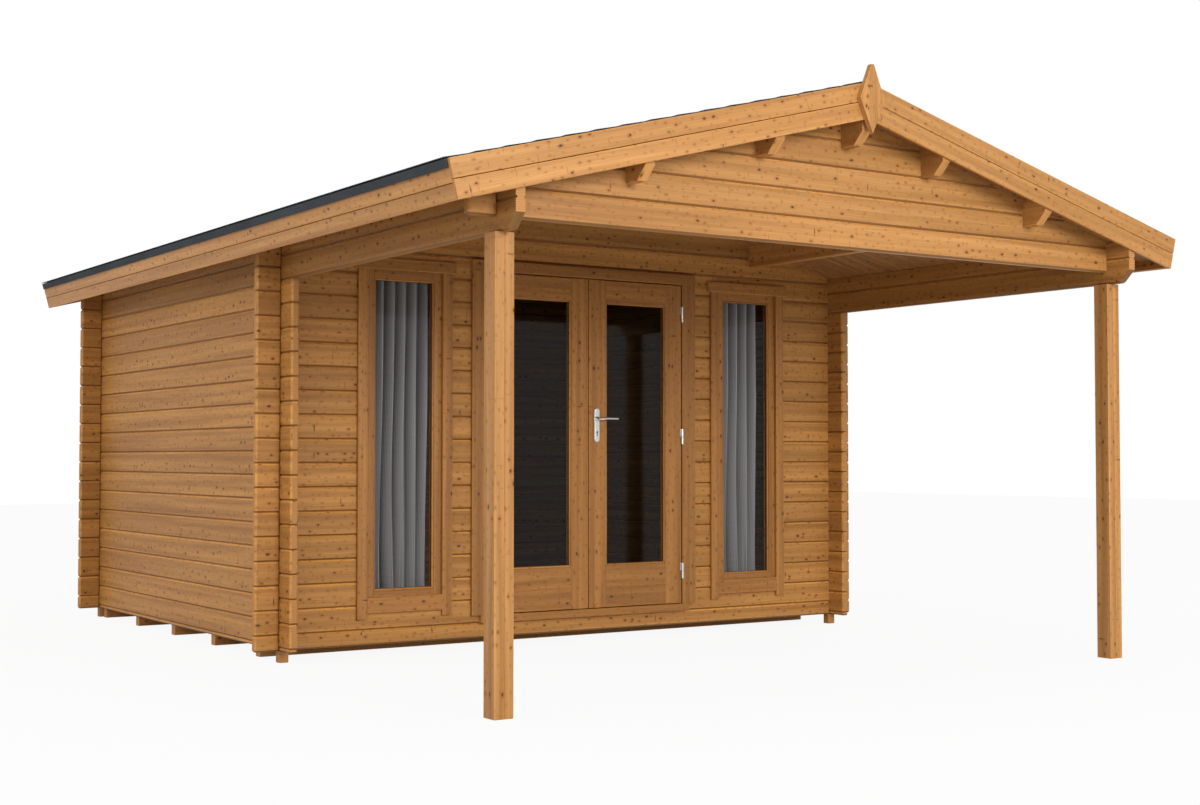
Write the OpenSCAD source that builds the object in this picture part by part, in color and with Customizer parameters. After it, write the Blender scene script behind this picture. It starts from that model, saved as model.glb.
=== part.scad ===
// Garden shed: an interlocking-log cabin with a pitched roof that runs on over an open front porch.
// X runs along the front, the front faces -Y, Z is up, and the shed stands on z = 0. Sizes are in millimetres.

/* [House] */
// outer width of the house across the side walls
house_w = 3734; // [2600:2:5600]
// outer depth of the house from the front wall to the back wall
house_d = 3034; // [2000:2:5000]
// thickness of a wall log
log_t = 44; // [28:1:90]
// height that one log course adds to a wall
log_h = 125; // [90:1:160]
// height of the starter log of the front and back walls
starter_h = 80; // [50:1:120]
// how far log ends stand out past a corner
log_over = 133; // [60:1:220]
// number of full log courses on the front and back walls below the porch gable
courses = 15; // [10:1:20]

/* [Porch] */
// depth of the open porch, from the front wall to the front of the porch gable
porch_d = 2196; // [900:2:3200]
// side of a square porch post
post_s = 90; // [70:1:160]
// how far the plates and purlins run past the porch gable
nose_over = 145; // [60:1:260]
// size of the chamfer under the front end of each wall plate
plate_chamfer = 66; // [10:1:100]

/* [Floor] */
// height and width of a floor bearer
bearer_s = 60; // [40:1:120]
// number of floor bearers
bearer_n = 5; // [3:1:9]
// distance from the front wall's face to the first bearer
bearer_first = 300; // [60:5:600]
// distance from the last bearer to the back wall's face
bearer_last = 74; // [60:2:400]
// side of a corner pad
pad_s = 50; // [40:1:90]
// thickness of the floor boards
floor_t = 19; // [15:1:30]

/* [Roof] */
// rise of the roof per unit of run
pitch = 0.26; // [0.15:0.01:0.6]
// height of the ceiling line at the ridge
ceiling_z = 2647; // [2300:1:3200]
// thickness of the insulated roof boards, square to the slope
deck_t = 84; // [18:1:140]
// thickness of the roof covering, square to the slope
cover_t = 30; // [6:1:40]
// how far the eaves stand out from the side walls
eaves_over = 292; // [120:2:600]
// how far the roof runs past the back log ends
back_over = 100; // [20:2:400]
// thickness of bargeboards and fascia boards
barge_t = 18; // [12:1:30]
// width of one bargeboard
barge_w = 81; // [50:1:140]
// open joint between the two bargeboards, and between fascia boards
barge_gap = 3; // [1:0.5:8]
// depth of the covering's drip edge
drip_h = 36; // [20:1:60]
// thin bed between the covering and the boards and fascia under it
cover_bed = 0.3; // [0.2:0.1:2]
// how far the drip edge stands out from the fascia
drip_t = 10; // [4:1:20]
// width of the ridge capping on each slope
cap_w = 125; // [60:1:250]
// thickness of the ridge capping
cap_t = 6; // [3:1:12]

/* [Purlins] */
// width of a purlin
purlin_w = 50; // [38:1:100]
// height of a side purlin at its middle
purlin_h = 124; // [80:1:220]
// height of the ridge purlin
ridge_h = 167; // [100:1:260]
// distance of the upper purlins from the ridge
purlin_in = 510; // [300:5:900]
// distance of the lower purlins from the ridge
purlin_out = 1215; // [800:5:1700]
// size of the chamfer under the front end of a purlin
purlin_chamfer = 60; // [10:1:90]

/* [Finial] */
// half height of the diamond finial
finial_hh = 161; // [80:1:260]
// half width of the diamond finial
finial_hw = 75; // [40:1:140]
// thickness of the finial
finial_t = 28; // [15:1:45]
// height of the finial's middle below the ridge line
finial_drop = 84; // [20:1:160]

/* [Doors] */
// half of the clear width between the door jambs
door_half = 660; // [500:2:900]
// height of the bottom edge of the door leaves
door_z = 188; // [150:1:260]
// height of a door leaf
door_h = 1876; // [1600:2:2200]
// thickness of a door leaf
leaf_t = 44; // [34:1:60]
// width of a door stile
stile_w = 115; // [70:1:160]
// height of a leaf's top rail
rail_top = 124; // [70:1:180]
// height of a leaf's bottom rail
rail_bot = 236; // [120:1:400]
// clearance round a moving door leaf
leaf_gap = 5; // [5:0.5:8]
// how far the leaves stand in front of the wall face
leaf_out = 20; // [10:1:34]
// width of a door jamb
jamb_w = 44; // [30:1:70]
// depth of the door frame behind the wall's front face
jamb_d = 58; // [50:1:100]
// width of the side casing boards
casing_w = 96; // [50:1:140]
// height of the casing board over the doors
casing_head = 62; // [40:1:120]
// thickness of casing boards
casing_t = 22; // [12:1:30]

/* [Door furniture] */
// radius of a hinge knuckle
knuckle_r = 7; // [5:0.5:12]
// length of a hinge, both halves
hinge_len = 92; // [60:1:140]
// height of the lever's axis above the bottom of the leaf
lever_z = 1077; // [900:1:1200]
// distance of the lever's axis from the leaf's meeting edge
lever_in = 50; // [35:1:70]
// length of a lever from its axis
lever_len = 130; // [90:1:160]
// length of a lock plate
plate_h = 194; // [150:1:260]
// width of a lock plate
plate_w = 34; // [26:1:50]

/* [Windows] */
// distance of a window's middle from the middle of the front
win_x = 1162; // [900:2:1500]
// half width of a window hole
win_half = 232; // [150:1:400]
// height of the bottom of a window hole
win_z = 240; // [200:1:1200]
// height of a window hole
win_h = 1822; // [500:2:2000]
// width of a window frame's sides
sash_w = 52; // [35:1:90]
// height of a window frame's bottom rail
sash_bot = 100; // [35:1:140]
// height of a window frame's top rail
sash_top = 64; // [35:1:120]
// width of a window's side casing board
win_casing = 58; // [40:1:90]
// how far the side casing boards hang below the bottom casing board
casing_leg = 28; // [0:1:60]
// glass unit thickness
glass_t = 14; // [4:1:28]

/* [Curtains] */
// width of the curtain behind the left window
curtain_l = 430; // [150:5:460]
// width of the curtain behind the right window
curtain_r = 390; // [150:5:460]
// depth that the gathered curtain fills
curtain_d = 90; // [30:1:100]
// height of the curtain's hem above the floor
curtain_hem = 50; // [10:5:400]
// radius of the curtain pole
pole_r = 8; // [6:1:15]

/* [View] */
// sub-part to build

/* [Hidden] */

half_w = house_w / 2;                        // side wall's outer face from the middle
inner_x = half_w - log_t;                    // side wall's inner face
wall_z = bearer_s;                           // underside of all walls
gable_z = wall_z + starter_h + courses * log_h;   // underside of the porch gable's lowest log
plate_z = gable_z - log_h / 2;               // underside of the wall plates, half a log lower
ang = atan(pitch);
roof_t = deck_t + cover_t;                   // whole roof, square to the slope
plumb = roof_t / cos(ang);                   // whole roof, measured plumb
ridge_z = ceiling_z + plumb;                 // top of the roof at the ridge
nose_y = -(porch_d + nose_over);             // front ends of plates, purlins and roof boards
tail_y = house_d + log_over;                 // back ends of logs
roof_back = tail_y + back_over;              // back end of the roof boards
front_y = nose_y - barge_t - finial_t;       // foremost face
rear_y = roof_back + barge_t;                // rearmost face
mid_y = (front_y + rear_y) / 2;
slope_len = (half_w + eaves_over) / cos(ang);      // top edge of the roof boards along the slope
barge_h = 2 * barge_w + barge_gap;
floor_top = wall_z + floor_t;
sill_z = wall_z + starter_h;                 // top of the starter log, under the door frame
door_top = door_z + door_h;
head_z = door_top + leaf_gap;                // underside of the door frame's head
hole_half = door_half + jamb_w;              // doorway in the wall
hole_top = head_z + jamb_w;
leaf_edge = door_half - leaf_gap;            // leaf's hinge edge
leaf_mid = leaf_gap / 2;                     // leaf's meeting edge
axis_x = door_half - leaf_gap / 2;           // hinge axis
axis_y = -(leaf_out + knuckle_r + 1);
plate_t = 8;
lever_hub_r = 9;
spindle_r = 5;
win_top = win_z + win_h;
sash_y0 = 2;
sash_y1 = log_t + 6;                         // window frames' inner face
pole_z = win_top + 38;
pole_y = sash_y1 + 5 + curtain_d / 2;        // the gathered curtain hangs clear of the window frames
eps = 0.01;

wood_wall = [0.667, 0.471, 0.275];
wood_trim = [0.741, 0.541, 0.333];
wood_dark = [0.471, 0.294, 0.137];
felt = [0.180, 0.192, 0.204];
steel = [0.75, 0.75, 0.74];
glass = [0.25, 0.22, 0.18, 0.4];
fabric = [0.6, 0.6, 0.6];

// height of the ceiling line at a distance from the ridge
function ceil_z(x) = ceiling_z - pitch * abs(x);

// puts the origin under the middle of the whole shed
module place() { translate([0, -mid_y, 0]) children(); }

// a box from its low corner to its high corner
module box(a, b) { translate(a) cube([b[0] - a[0], b[1] - a[1], b[2] - a[2]]); }

// makes children on the right and their mirror on the left
module both() { children(); mirror([1, 0, 0]) children(); }

// extrudes an x-z outline along y
module along_y(y0, y1) { translate([0, y1, 0]) rotate([90, 0, 0]) linear_extrude(y1 - y0) children(); }

// extrudes a y-z outline along x
module along_x(x0, x1) {
    translate([x0, 0, 0]) rotate([90, 0, 90]) linear_extrude(x1 - x0) children();
}

// point on the roof: s down the slope from the ridge, n down from the top face, side 1 right or -1 left
function roof_pt(side, s, n) =
    [side * (s * cos(ang) - n * sin(ang)), ridge_z - s * sin(ang) - n * cos(ang)];

// a layer of the roof between two depths, cut plumb at the ridge and square at the eaves
module roof_layer(side, n0, n1, s_end, y0, y1) {
    along_y(y0, y1) polygon([
        roof_pt(side, n0 * tan(ang), n0), roof_pt(side, s_end, n0),
        roof_pt(side, s_end, n1), roof_pt(side, n1 * tan(ang), n1)]);
}

// a board on the roof between two depths and two distances down the slope
module roof_board(side, s0, s1, n0, n1, y0, y1) {
    along_y(y0, y1) polygon([
        roof_pt(side, s0, n0), roof_pt(side, s1, n0), roof_pt(side, s1, n1), roof_pt(side, s0, n1)]);
}

// side purlin at a distance from the ridge, its top under the roof boards, front end chamfered
module purlin(side, x) {
    z0 = ceil_z(x) - purlin_h;
    difference() {
        along_y(nose_y, roof_back) polygon([
            [side * (x - purlin_w / 2), z0], [side * (x + purlin_w / 2), z0],
            [side * (x + purlin_w / 2), ceil_z(x + purlin_w / 2)],
            [side * (x - purlin_w / 2), ceil_z(x - purlin_w / 2)]]);
        for (e = [0, 1]) nose_cut(side * x, purlin_w, z0, purlin_chamfer, e);
    }
}

// cuts a chamfer under the front (end 0) or back (end 1) of a beam
module nose_cut(x, w, z, c, end) {
    y = end == 0 ? nose_y : roof_back;
    d = end == 0 ? 1 : -1;
    along_x(x - w, x + w) polygon([[y - d, z - 1], [y + d * (c + 1), z - 1], [y - d, z + c + 1]]);
}

module ridge_beam() {
    difference() {
        along_y(nose_y, roof_back) polygon([
            [-purlin_w / 2, ceiling_z - ridge_h], [purlin_w / 2, ceiling_z - ridge_h],
            [purlin_w / 2, ceil_z(purlin_w / 2)], [0, ceiling_z], [-purlin_w / 2, ceil_z(purlin_w / 2)]]);
        for (e = [0, 1]) nose_cut(0, purlin_w, ceiling_z - ridge_h, purlin_chamfer, e);
    }
}

// slots in a gable for the purlins, open at the top
module purlin_slots() {
    translate([-purlin_w / 2, ceiling_z - ridge_h]) square([purlin_w, 2 * ridge_h]);
    for (side = [-1, 1]) for (x = [purlin_in, purlin_out])
        translate([side * x - purlin_w / 2, ceil_z(x) - purlin_h]) square([purlin_w, 3 * purlin_h]);
}

// a gable between the side walls from a height up to the ceiling line, slotted for the purlins
module gable(z0, y0) {
    along_y(y0, y0 + log_t) difference() {
        polygon([
            [-inner_x, z0], [inner_x, z0], [inner_x, ceil_z(inner_x)], [0, ceiling_z],
            [-inner_x, ceil_z(inner_x)]]);
        purlin_slots();
    }
}

// a log-end column outside a side wall, cut to the roof line
module end_column(side, z0, y0) {
    along_y(y0, y0 + log_t) polygon([
        [side * half_w, z0], [side * (half_w + log_over), z0],
        [side * (half_w + log_over), ceil_z(half_w + log_over)], [side * half_w, ceil_z(half_w)]]);
}

module ground_bearers() color(wood_dark) place() {
    step = (house_d - bearer_last - bearer_s - bearer_first) / (bearer_n - 1);
    for (i = [0 : bearer_n - 1]) {
        y = bearer_first + i * step;
        box([-half_w + 20, y, 0], [half_w - 20, y + bearer_s, bearer_s]);
    }
    both() for (y = [0, house_d - log_t]) box([half_w - pad_s, y, 0], [half_w, y + log_t, bearer_s]);
}

module floor_boards() color(wood_wall) place()
    box([-inner_x, log_t, wall_z], [inner_x, house_d - log_t, floor_top]);

module side_wall(side) {
    x0 = side > 0 ? inner_x : -half_w;
    box([x0, -log_over, wall_z], [x0 + log_t, tail_y, plate_z]);
}
module left_wall() color(wood_wall) place() side_wall(-1);
module right_wall() color(wood_wall) place() side_wall(1);

module back_wall() color(wood_wall) place() gable(wall_z, house_d - log_t);

// front wall beside the doorway, with its window hole
module front_side(side) {
    a = side > 0 ? hole_half : -inner_x;
    b = side > 0 ? inner_x : -hole_half;
    difference() {
        box([a, 0, wall_z], [b, log_t, hole_top]);
        box([side * win_x - win_half, -1, win_z], [side * win_x + win_half, log_t + 1, win_top]);
    }
}
module front_wall_left() color(wood_wall) place() front_side(-1);
module front_wall_right() color(wood_wall) place() front_side(1);
module front_wall_sill() color(wood_wall) place()
    box([-hole_half, 0, wall_z], [hole_half, log_t, sill_z]);
module front_gable() color(wood_wall) place() gable(hole_top, 0);

module log_ends() color(wood_wall) place()
    for (side = [-1, 1]) {
        end_column(side, wall_z, 0);
        end_column(side, wall_z, house_d - log_t);
        end_column(side, gable_z, -porch_d);
    }

// plate that tops a side wall and runs on to the front of the porch
module wall_plate(side) {
    difference() {
        along_y(nose_y, tail_y) polygon([
            [side * inner_x, plate_z], [side * half_w, plate_z],
            [side * half_w, ceil_z(half_w)], [side * inner_x, ceil_z(inner_x)]]);
        nose_cut(side * (half_w - log_t / 2), log_t, plate_z, plate_chamfer, 0);
    }
}
module left_wall_plate() color(wood_wall) place() wall_plate(-1);
module right_wall_plate() color(wood_wall) place() wall_plate(1);

module porch_gable() color(wood_wall) place() gable(gable_z, -porch_d);

module post(side) {
    x = side * (half_w - log_t / 2);
    y = -porch_d + log_t / 2;
    box([x - post_s / 2, y - post_s / 2, 0], [x + post_s / 2, y + post_s / 2, plate_z]);
}
module left_post() color(wood_trim) place() post(-1);
module right_post() color(wood_trim) place() post(1);

module ridge_purlin() color(wood_trim) place() ridge_beam();
module left_purlins() color(wood_trim) place() for (x = [purlin_in, purlin_out]) purlin(-1, x);
module right_purlins() color(wood_trim) place() for (x = [purlin_in, purlin_out]) purlin(1, x);

module left_roof_boards() color(wood_dark) place()
    roof_layer(-1, cover_t, roof_t, slope_len, nose_y, roof_back);
module right_roof_boards() color(wood_dark) place()
    roof_layer(1, cover_t, roof_t, slope_len, nose_y, roof_back);

// covering on one slope, with a drip edge over the fascia
module covering(side) {
    s_out = slope_len + barge_t + drip_t;
    under = cover_t - cover_bed;
    roof_layer(side, 0, under, s_out, nose_y, roof_back);
    roof_board(side, slope_len + barge_t + cover_bed, s_out, under - 1, drip_h, nose_y, roof_back);
}
module left_roof_covering() color(felt) place() covering(-1);
module right_roof_covering() color(felt) place() covering(1);
module ridge_capping() color(felt) place()
    along_y(nose_y, roof_back) polygon([
        roof_pt(-1, cap_w, 0), roof_pt(-1, cap_w, -cap_t), [0, ridge_z + cap_t / cos(ang)],
        roof_pt(1, cap_w, -cap_t), roof_pt(1, cap_w, 0), [0, ridge_z]]);

// a pair of boards on each slope; the two slopes stay apart at the ridge
module barge_pair(y0) {
    for (side = [-1, 1]) for (i = [0, 1]) {
        n0 = i * (barge_w + barge_gap);
        n1 = n0 + barge_w;
        s_out = slope_len + barge_t;
        along_y(y0, y0 + barge_t) polygon([
            roof_pt(side, n0 * tan(ang) + 1, n0), roof_pt(side, s_out, n0),
            roof_pt(side, s_out, n1), roof_pt(side, n1 * tan(ang) + 1, n1)]);
    }
}
module front_bargeboards() color(wood_trim) place() barge_pair(nose_y - barge_t);
module back_bargeboards() color(wood_trim) place() barge_pair(roof_back);

module eaves_fascia() color(wood_trim) place() {
    n_top = cover_t;
    n_mid = drip_h + 60;
    for (side = [-1, 1]) {
        roof_board(side, slope_len, slope_len + barge_t, n_top, n_mid, nose_y, roof_back);
        roof_board(side, slope_len, slope_len + barge_t, n_mid + barge_gap, barge_h, nose_y, roof_back);
    }
}

module front_finial() color(wood_trim) place() {
    zc = ridge_z - finial_drop;
    along_y(nose_y - barge_t - finial_t, nose_y - barge_t) polygon([
        [0, zc - finial_hh], [finial_hw, zc], [8, zc + finial_hh], [-8, zc + finial_hh], [-finial_hw, zc]]);
}

module door_frame() color(wood_trim) place() {
    stop_y = -leaf_out + leaf_t + leaf_gap;
    difference() {
        box([-hole_half, 0, sill_z], [hole_half, jamb_d, hole_top]);
        box([-door_half, -1, door_z - leaf_gap], [door_half, jamb_d + 1, head_z]);
    }
    // stops behind the leaves
    both() box([door_half - 18, stop_y, door_z - leaf_gap], [door_half + 1, stop_y + 20, head_z]);
    box([-door_half + 17, stop_y, head_z - 18], [door_half - 17, stop_y + 20, head_z + 1]);
    // sill nosing in front of the wall
    box([-hole_half, -leaf_out - 6, sill_z], [hole_half, 1, door_z - leaf_gap]);
}

module door_casing() color(wood_trim) place() {
    cx = door_half + 3;
    both() box([cx, -casing_t, door_z - leaf_gap + 1], [cx + casing_w, 0, head_z + 2]);
    box([-cx - casing_w, -casing_t, head_z + 2 - eps], [cx + casing_w, 0, head_z + 2 + casing_head]);
}

// heights of the three hinges
function hinge_z() = [door_z + 190, door_z + 981, door_z + 1704];

// moving half of a hinge: knuckle and the flap on the leaf's front face
module hinge_moving(side, z) {
    translate([side * axis_x, axis_y, z]) cylinder(h = hinge_len / 2 - 0.5, r = knuckle_r, $fn = 32);
    a = side > 0 ? axis_x - 32 : -axis_x;
    box([a, -leaf_out - 3, z], [a + 32, -leaf_out, z + hinge_len / 2 - 0.5]);
}
// fixed half: knuckle and a pin lug on the casing
module hinge_fixed(side, z) {
    translate([side * axis_x, axis_y, z - hinge_len / 2]) cylinder(h = hinge_len / 2, r = knuckle_r, $fn = 32);
    a = side > 0 ? axis_x : -axis_x - 30;
    box([a, -casing_t - 3, z - hinge_len / 2], [a + 30, -casing_t, z]);
}
module frame_hinges() color(steel) place() for (side = [-1, 1]) for (z = hinge_z()) hinge_fixed(side, z);
module left_door_hinges() color(steel) place() for (z = hinge_z()) hinge_moving(-1, z);
module right_door_hinges() color(steel) place() for (z = hinge_z()) hinge_moving(1, z);

// a leaf's glass opening, x from the meeting edge outwards
glass_x0 = leaf_mid + stile_w;
glass_x1 = leaf_edge - stile_w;
glass_z0 = door_z + rail_bot;
glass_z1 = door_top - rail_top;
leaf_y0 = -leaf_out;
leaf_y1 = -leaf_out + leaf_t;
pane_y = (leaf_y0 + leaf_y1 - glass_t) / 2;

module leaf_body(side) {
    mirror([side > 0 ? 0 : 1, 0, 0]) difference() {
        box([leaf_mid, leaf_y0, door_z], [leaf_edge, leaf_y1, door_top]);
        box([glass_x0, leaf_y0 - 1, glass_z0], [glass_x1, leaf_y1 + 1, glass_z1]);
    }
}
module leaf_glass(side) mirror([side > 0 ? 0 : 1, 0, 0])
    box([glass_x0, pane_y, glass_z0], [glass_x1, pane_y + glass_t, glass_z1]);

lever_x = leaf_mid + lever_in;
lever_axis_z = door_z + lever_z;

module left_door_leaf() color(wood_trim) place() leaf_body(-1);
module left_door_glass() color(glass) place() leaf_glass(-1);
module right_door_leaf() color(wood_trim) place() difference() {
    leaf_body(1);
    translate([lever_x, leaf_y0 - 1, lever_axis_z]) rotate([-90, 0, 0])
        cylinder(h = leaf_t + 2, r = spindle_r + 3, $fn = 32);
}
module right_door_glass() color(glass) place() leaf_glass(1);

// rounded plate with a hole for the spindle
module lock_plate(y) {
    zc = lever_axis_z - plate_h / 2 + 62;
    difference() {
        translate([lever_x, y + plate_t, zc]) rotate([90, 0, 0]) linear_extrude(plate_t) union() {
            square([plate_w, plate_h - plate_w], center = true);
            for (s = [-1, 1]) translate([0, s * (plate_h - plate_w) / 2]) circle(d = plate_w, $fn = 48);
        }
        translate([lever_x, y - 1, lever_axis_z]) rotate([-90, 0, 0])
            cylinder(h = plate_t + 2, r = spindle_r + 0.5, $fn = 32);
    }
}
module lock_plates() color(steel) place() {
    lock_plate(leaf_y0 - plate_t);
    lock_plate(leaf_y1);
}

// one lever: hub, neck and a handle that points to the hinge side
module lever(dir, y_face) {
    hub = 34;
    translate([lever_x, y_face, lever_axis_z]) rotate([dir < 0 ? 90 : -90, 0, 0])
        cylinder(h = hub + lever_hub_r, r = lever_hub_r, $fn = 32);
    translate([lever_x, y_face + dir * hub, lever_axis_z]) rotate([0, 90, 0])
        cylinder(h = lever_len - lever_hub_r, r = lever_hub_r - 1, $fn = 32);
    translate([lever_x + lever_len - lever_hub_r, y_face + dir * hub, lever_axis_z])
        sphere(r = lever_hub_r - 1, $fn = 32);
}
module door_levers() color(steel) place() {
    lever(-1, leaf_y0 - plate_t - 0.5);
    lever(1, leaf_y1 + plate_t + 0.5);
    translate([lever_x, leaf_y0 - plate_t - 1, lever_axis_z]) rotate([-90, 0, 0])
        cylinder(h = leaf_t + 2 * plate_t + 2, r = spindle_r, $fn = 32);
}

win_pane_y = (sash_y0 + sash_y1 - glass_t) / 2;
pane_x = win_half - sash_w;
pane_z0 = win_z + sash_bot;
pane_z1 = win_top - sash_top;

module window_sashes() color(wood_trim) place() for (side = [-1, 1]) translate([side * win_x, 0, 0])
    difference() {
        box([-win_half, sash_y0, win_z], [win_half, sash_y1, win_top]);
        box([-pane_x, -1, pane_z0], [pane_x, sash_y1 + 1, pane_z1]);
    }
module window_panes() color(glass) place() for (side = [-1, 1]) translate([side * win_x, 0, 0])
    box([-pane_x, win_pane_y, pane_z0], [pane_x, win_pane_y + glass_t, pane_z1]);

// casing boards round a window: two sides, a bottom board between them and a longer head
module window_casings() color(wood_trim) place() for (side = [-1, 1]) translate([side * win_x, 0, 0]) {
    in_x = win_half - 10;
    out_x = in_x + win_casing;
    head0 = win_top - 20;
    bot0 = win_z - 14;
    both() box([in_x, -casing_t + 2, bot0 - casing_leg], [out_x, 0, head0]);
    box([-in_x - eps, -casing_t + 4, bot0], [in_x + eps, 0, bot0 + 83]);
    box([-out_x - 20, -casing_t, head0 - eps], [out_x + 20, 0, head0 + 62]);
}

module curtain(x0, w)
    box([x0, pole_y - curtain_d / 2, floor_top + curtain_hem], [x0 + w, pole_y + curtain_d / 2, pole_z - pole_r]);
module left_curtain() color(fabric) place() curtain(-win_x - win_half + 6, curtain_l);
module right_curtain() color(fabric) place() curtain(win_x - win_half + 6, curtain_r);

module curtain_rails() color(steel) place() for (side = [-1, 1]) translate([side * win_x, 0, 0]) {
    reach = win_half + 40;
    translate([-reach, pole_y, pole_z]) rotate([0, 90, 0]) cylinder(h = 2 * reach, r = pole_r, $fn = 32);
    both() translate([reach - 24, log_t, pole_z]) rotate([-90, 0, 0])
        cylinder(h = pole_y - log_t, r = pole_r - 2, $fn = 32);
}

ground_bearers();
floor_boards();
left_wall();
right_wall();
back_wall();
front_wall_left();
front_wall_right();
front_wall_sill();
front_gable();
log_ends();
left_wall_plate();
right_wall_plate();
porch_gable();
left_post();
right_post();
ridge_purlin();
left_purlins();
right_purlins();
left_roof_boards();
right_roof_boards();
left_roof_covering();
right_roof_covering();
ridge_capping();
front_bargeboards();
back_bargeboards();
eaves_fascia();
front_finial();
door_frame();
door_casing();
frame_hinges();
left_door_leaf();
left_door_glass();
left_door_hinges();
right_door_leaf();
right_door_glass();
right_door_hinges();
lock_plates();
door_levers();
window_sashes();
window_panes();
window_casings();
left_curtain();
right_curtain();
curtain_rails();
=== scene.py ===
# %% [markdown]
# # A garden shed of interlocking logs
# The shed is a small log cabin: machined softwood logs lock together at the corners, and the pitched roof
# runs on over an open porch on two posts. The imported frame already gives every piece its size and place.
# This lesson gives the pieces their finish: separate logs and boards with eased edges, stained softwood,
# felt shingles, glass, satin steel and gathered curtains.

# %% Load the frame
import math
import random

import bmesh
import bpy
from mathutils import Matrix, Vector


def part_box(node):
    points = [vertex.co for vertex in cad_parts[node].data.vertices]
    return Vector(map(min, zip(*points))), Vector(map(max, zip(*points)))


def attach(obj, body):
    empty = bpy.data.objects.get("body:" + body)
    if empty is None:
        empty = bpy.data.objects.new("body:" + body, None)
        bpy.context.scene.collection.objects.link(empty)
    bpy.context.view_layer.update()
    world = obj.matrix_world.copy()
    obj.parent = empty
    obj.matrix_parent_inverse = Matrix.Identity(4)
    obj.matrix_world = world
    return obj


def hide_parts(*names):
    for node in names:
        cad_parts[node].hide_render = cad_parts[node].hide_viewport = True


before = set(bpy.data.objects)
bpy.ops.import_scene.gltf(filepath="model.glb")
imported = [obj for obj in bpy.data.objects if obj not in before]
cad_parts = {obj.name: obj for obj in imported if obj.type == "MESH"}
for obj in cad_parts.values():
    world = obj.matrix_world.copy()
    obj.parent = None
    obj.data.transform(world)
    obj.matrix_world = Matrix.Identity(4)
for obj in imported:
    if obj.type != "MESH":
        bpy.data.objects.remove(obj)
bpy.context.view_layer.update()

# %% [markdown]
# ## Camera
# The camera stands a little above waist height, to the left of the porch, with a lens slightly longer than
# normal. It comes first, so that every later piece can be judged from where it is seen.

# %% Camera
EYE = (-5.248, -8.474, 1.042)
HEADING = math.radians(-33.632)
TILT = math.radians(1.897)
camera_data = bpy.data.cameras.new("camera")
camera_data.sensor_width = 36
camera_data.lens = 50.28
camera = bpy.data.objects.new("camera", camera_data)
camera.location = EYE
camera.rotation_euler = (math.pi / 2 + TILT, 0, HEADING)
bpy.context.collection.objects.link(camera)
bpy.context.scene.camera = camera
print("camera", EYE)

# %% [markdown]
# ## Nodes and colours
# Every material is a small graph of shader nodes. One function adds a node with its settings and links, and
# one turns a written colour into the linear values that the shaders count in.

# %% Node and colour helpers
def add(tree, kind, links=None, **settings):
    """Adds a shader node; links gives each input a value or another node's output."""
    node = tree.nodes.new("ShaderNode" + kind)
    for key, value in settings.items():
        setattr(node, key, value)
    for socket, value in (links or {}).items():
        if isinstance(value, bpy.types.NodeSocket):
            tree.links.new(value, node.inputs[socket])
        else:
            node.inputs[socket].default_value = value
    return node


def colour(code):
    """Linear RGBA of an sRGB colour such as #A87D4B."""
    parts = [int(code[i:i + 2], 16) / 255 for i in (1, 3, 5)]
    return [c / 12.92 if c <= 0.04045 else ((c + 0.055) / 1.055) ** 2.4 for c in parts] + [1.0]


def shader(name, roughness=0.6, **sockets):
    """A new material with one Principled shader; returns the material, its tree and the shader."""
    made = bpy.data.materials.new(name)
    made.use_nodes = True
    tree = made.node_tree
    tree.nodes.clear()
    surface = add(tree, "BsdfPrincipled", {"Roughness": roughness})
    for socket, value in sockets.items():
        surface.inputs[socket.replace("_", " ")].default_value = value
    add(tree, "OutputMaterial", {"Surface": surface.outputs[0]})
    return made, tree, surface


# %% [markdown]
# ## Stained softwood
# The logs are planed spruce under a brown wood stain. Spruce has soft bands that run along the log, fine
# growth lines, and many small knots in rows where the branches grew. The pattern has to follow each log, not
# the world, so every board carries its own map: metres along the grain and metres across it.
# Knots come from Voronoi cells: each cell holds one point, and the distance to it, turned back into metres,
# draws a round knot of a real size.

# %% Knots
KNOT_CELL = (0.050, 0.0417)      # at most one small knot in each cell of this length and height, in metres
KNOT_R = 0.0060                  # a large knot's radius, before the swell
KNOT_SWELL = (0.25, 1.25)        # a knot's share of its size at a log's edge, and along its middle
KNOT_STRETCH = 0.62              # knots are longer along the grain
LOG_MIDDLE = 0.0625              # half a log's height; knots are largest there
DASH_CELL = (0.210, 0.0625)      # one branch mark in some cells
DASH_R = 0.0030                  # half the height of a branch mark
DASH_SQUEEZE = 0.16              # a branch mark is this much narrower than it is tall


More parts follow.
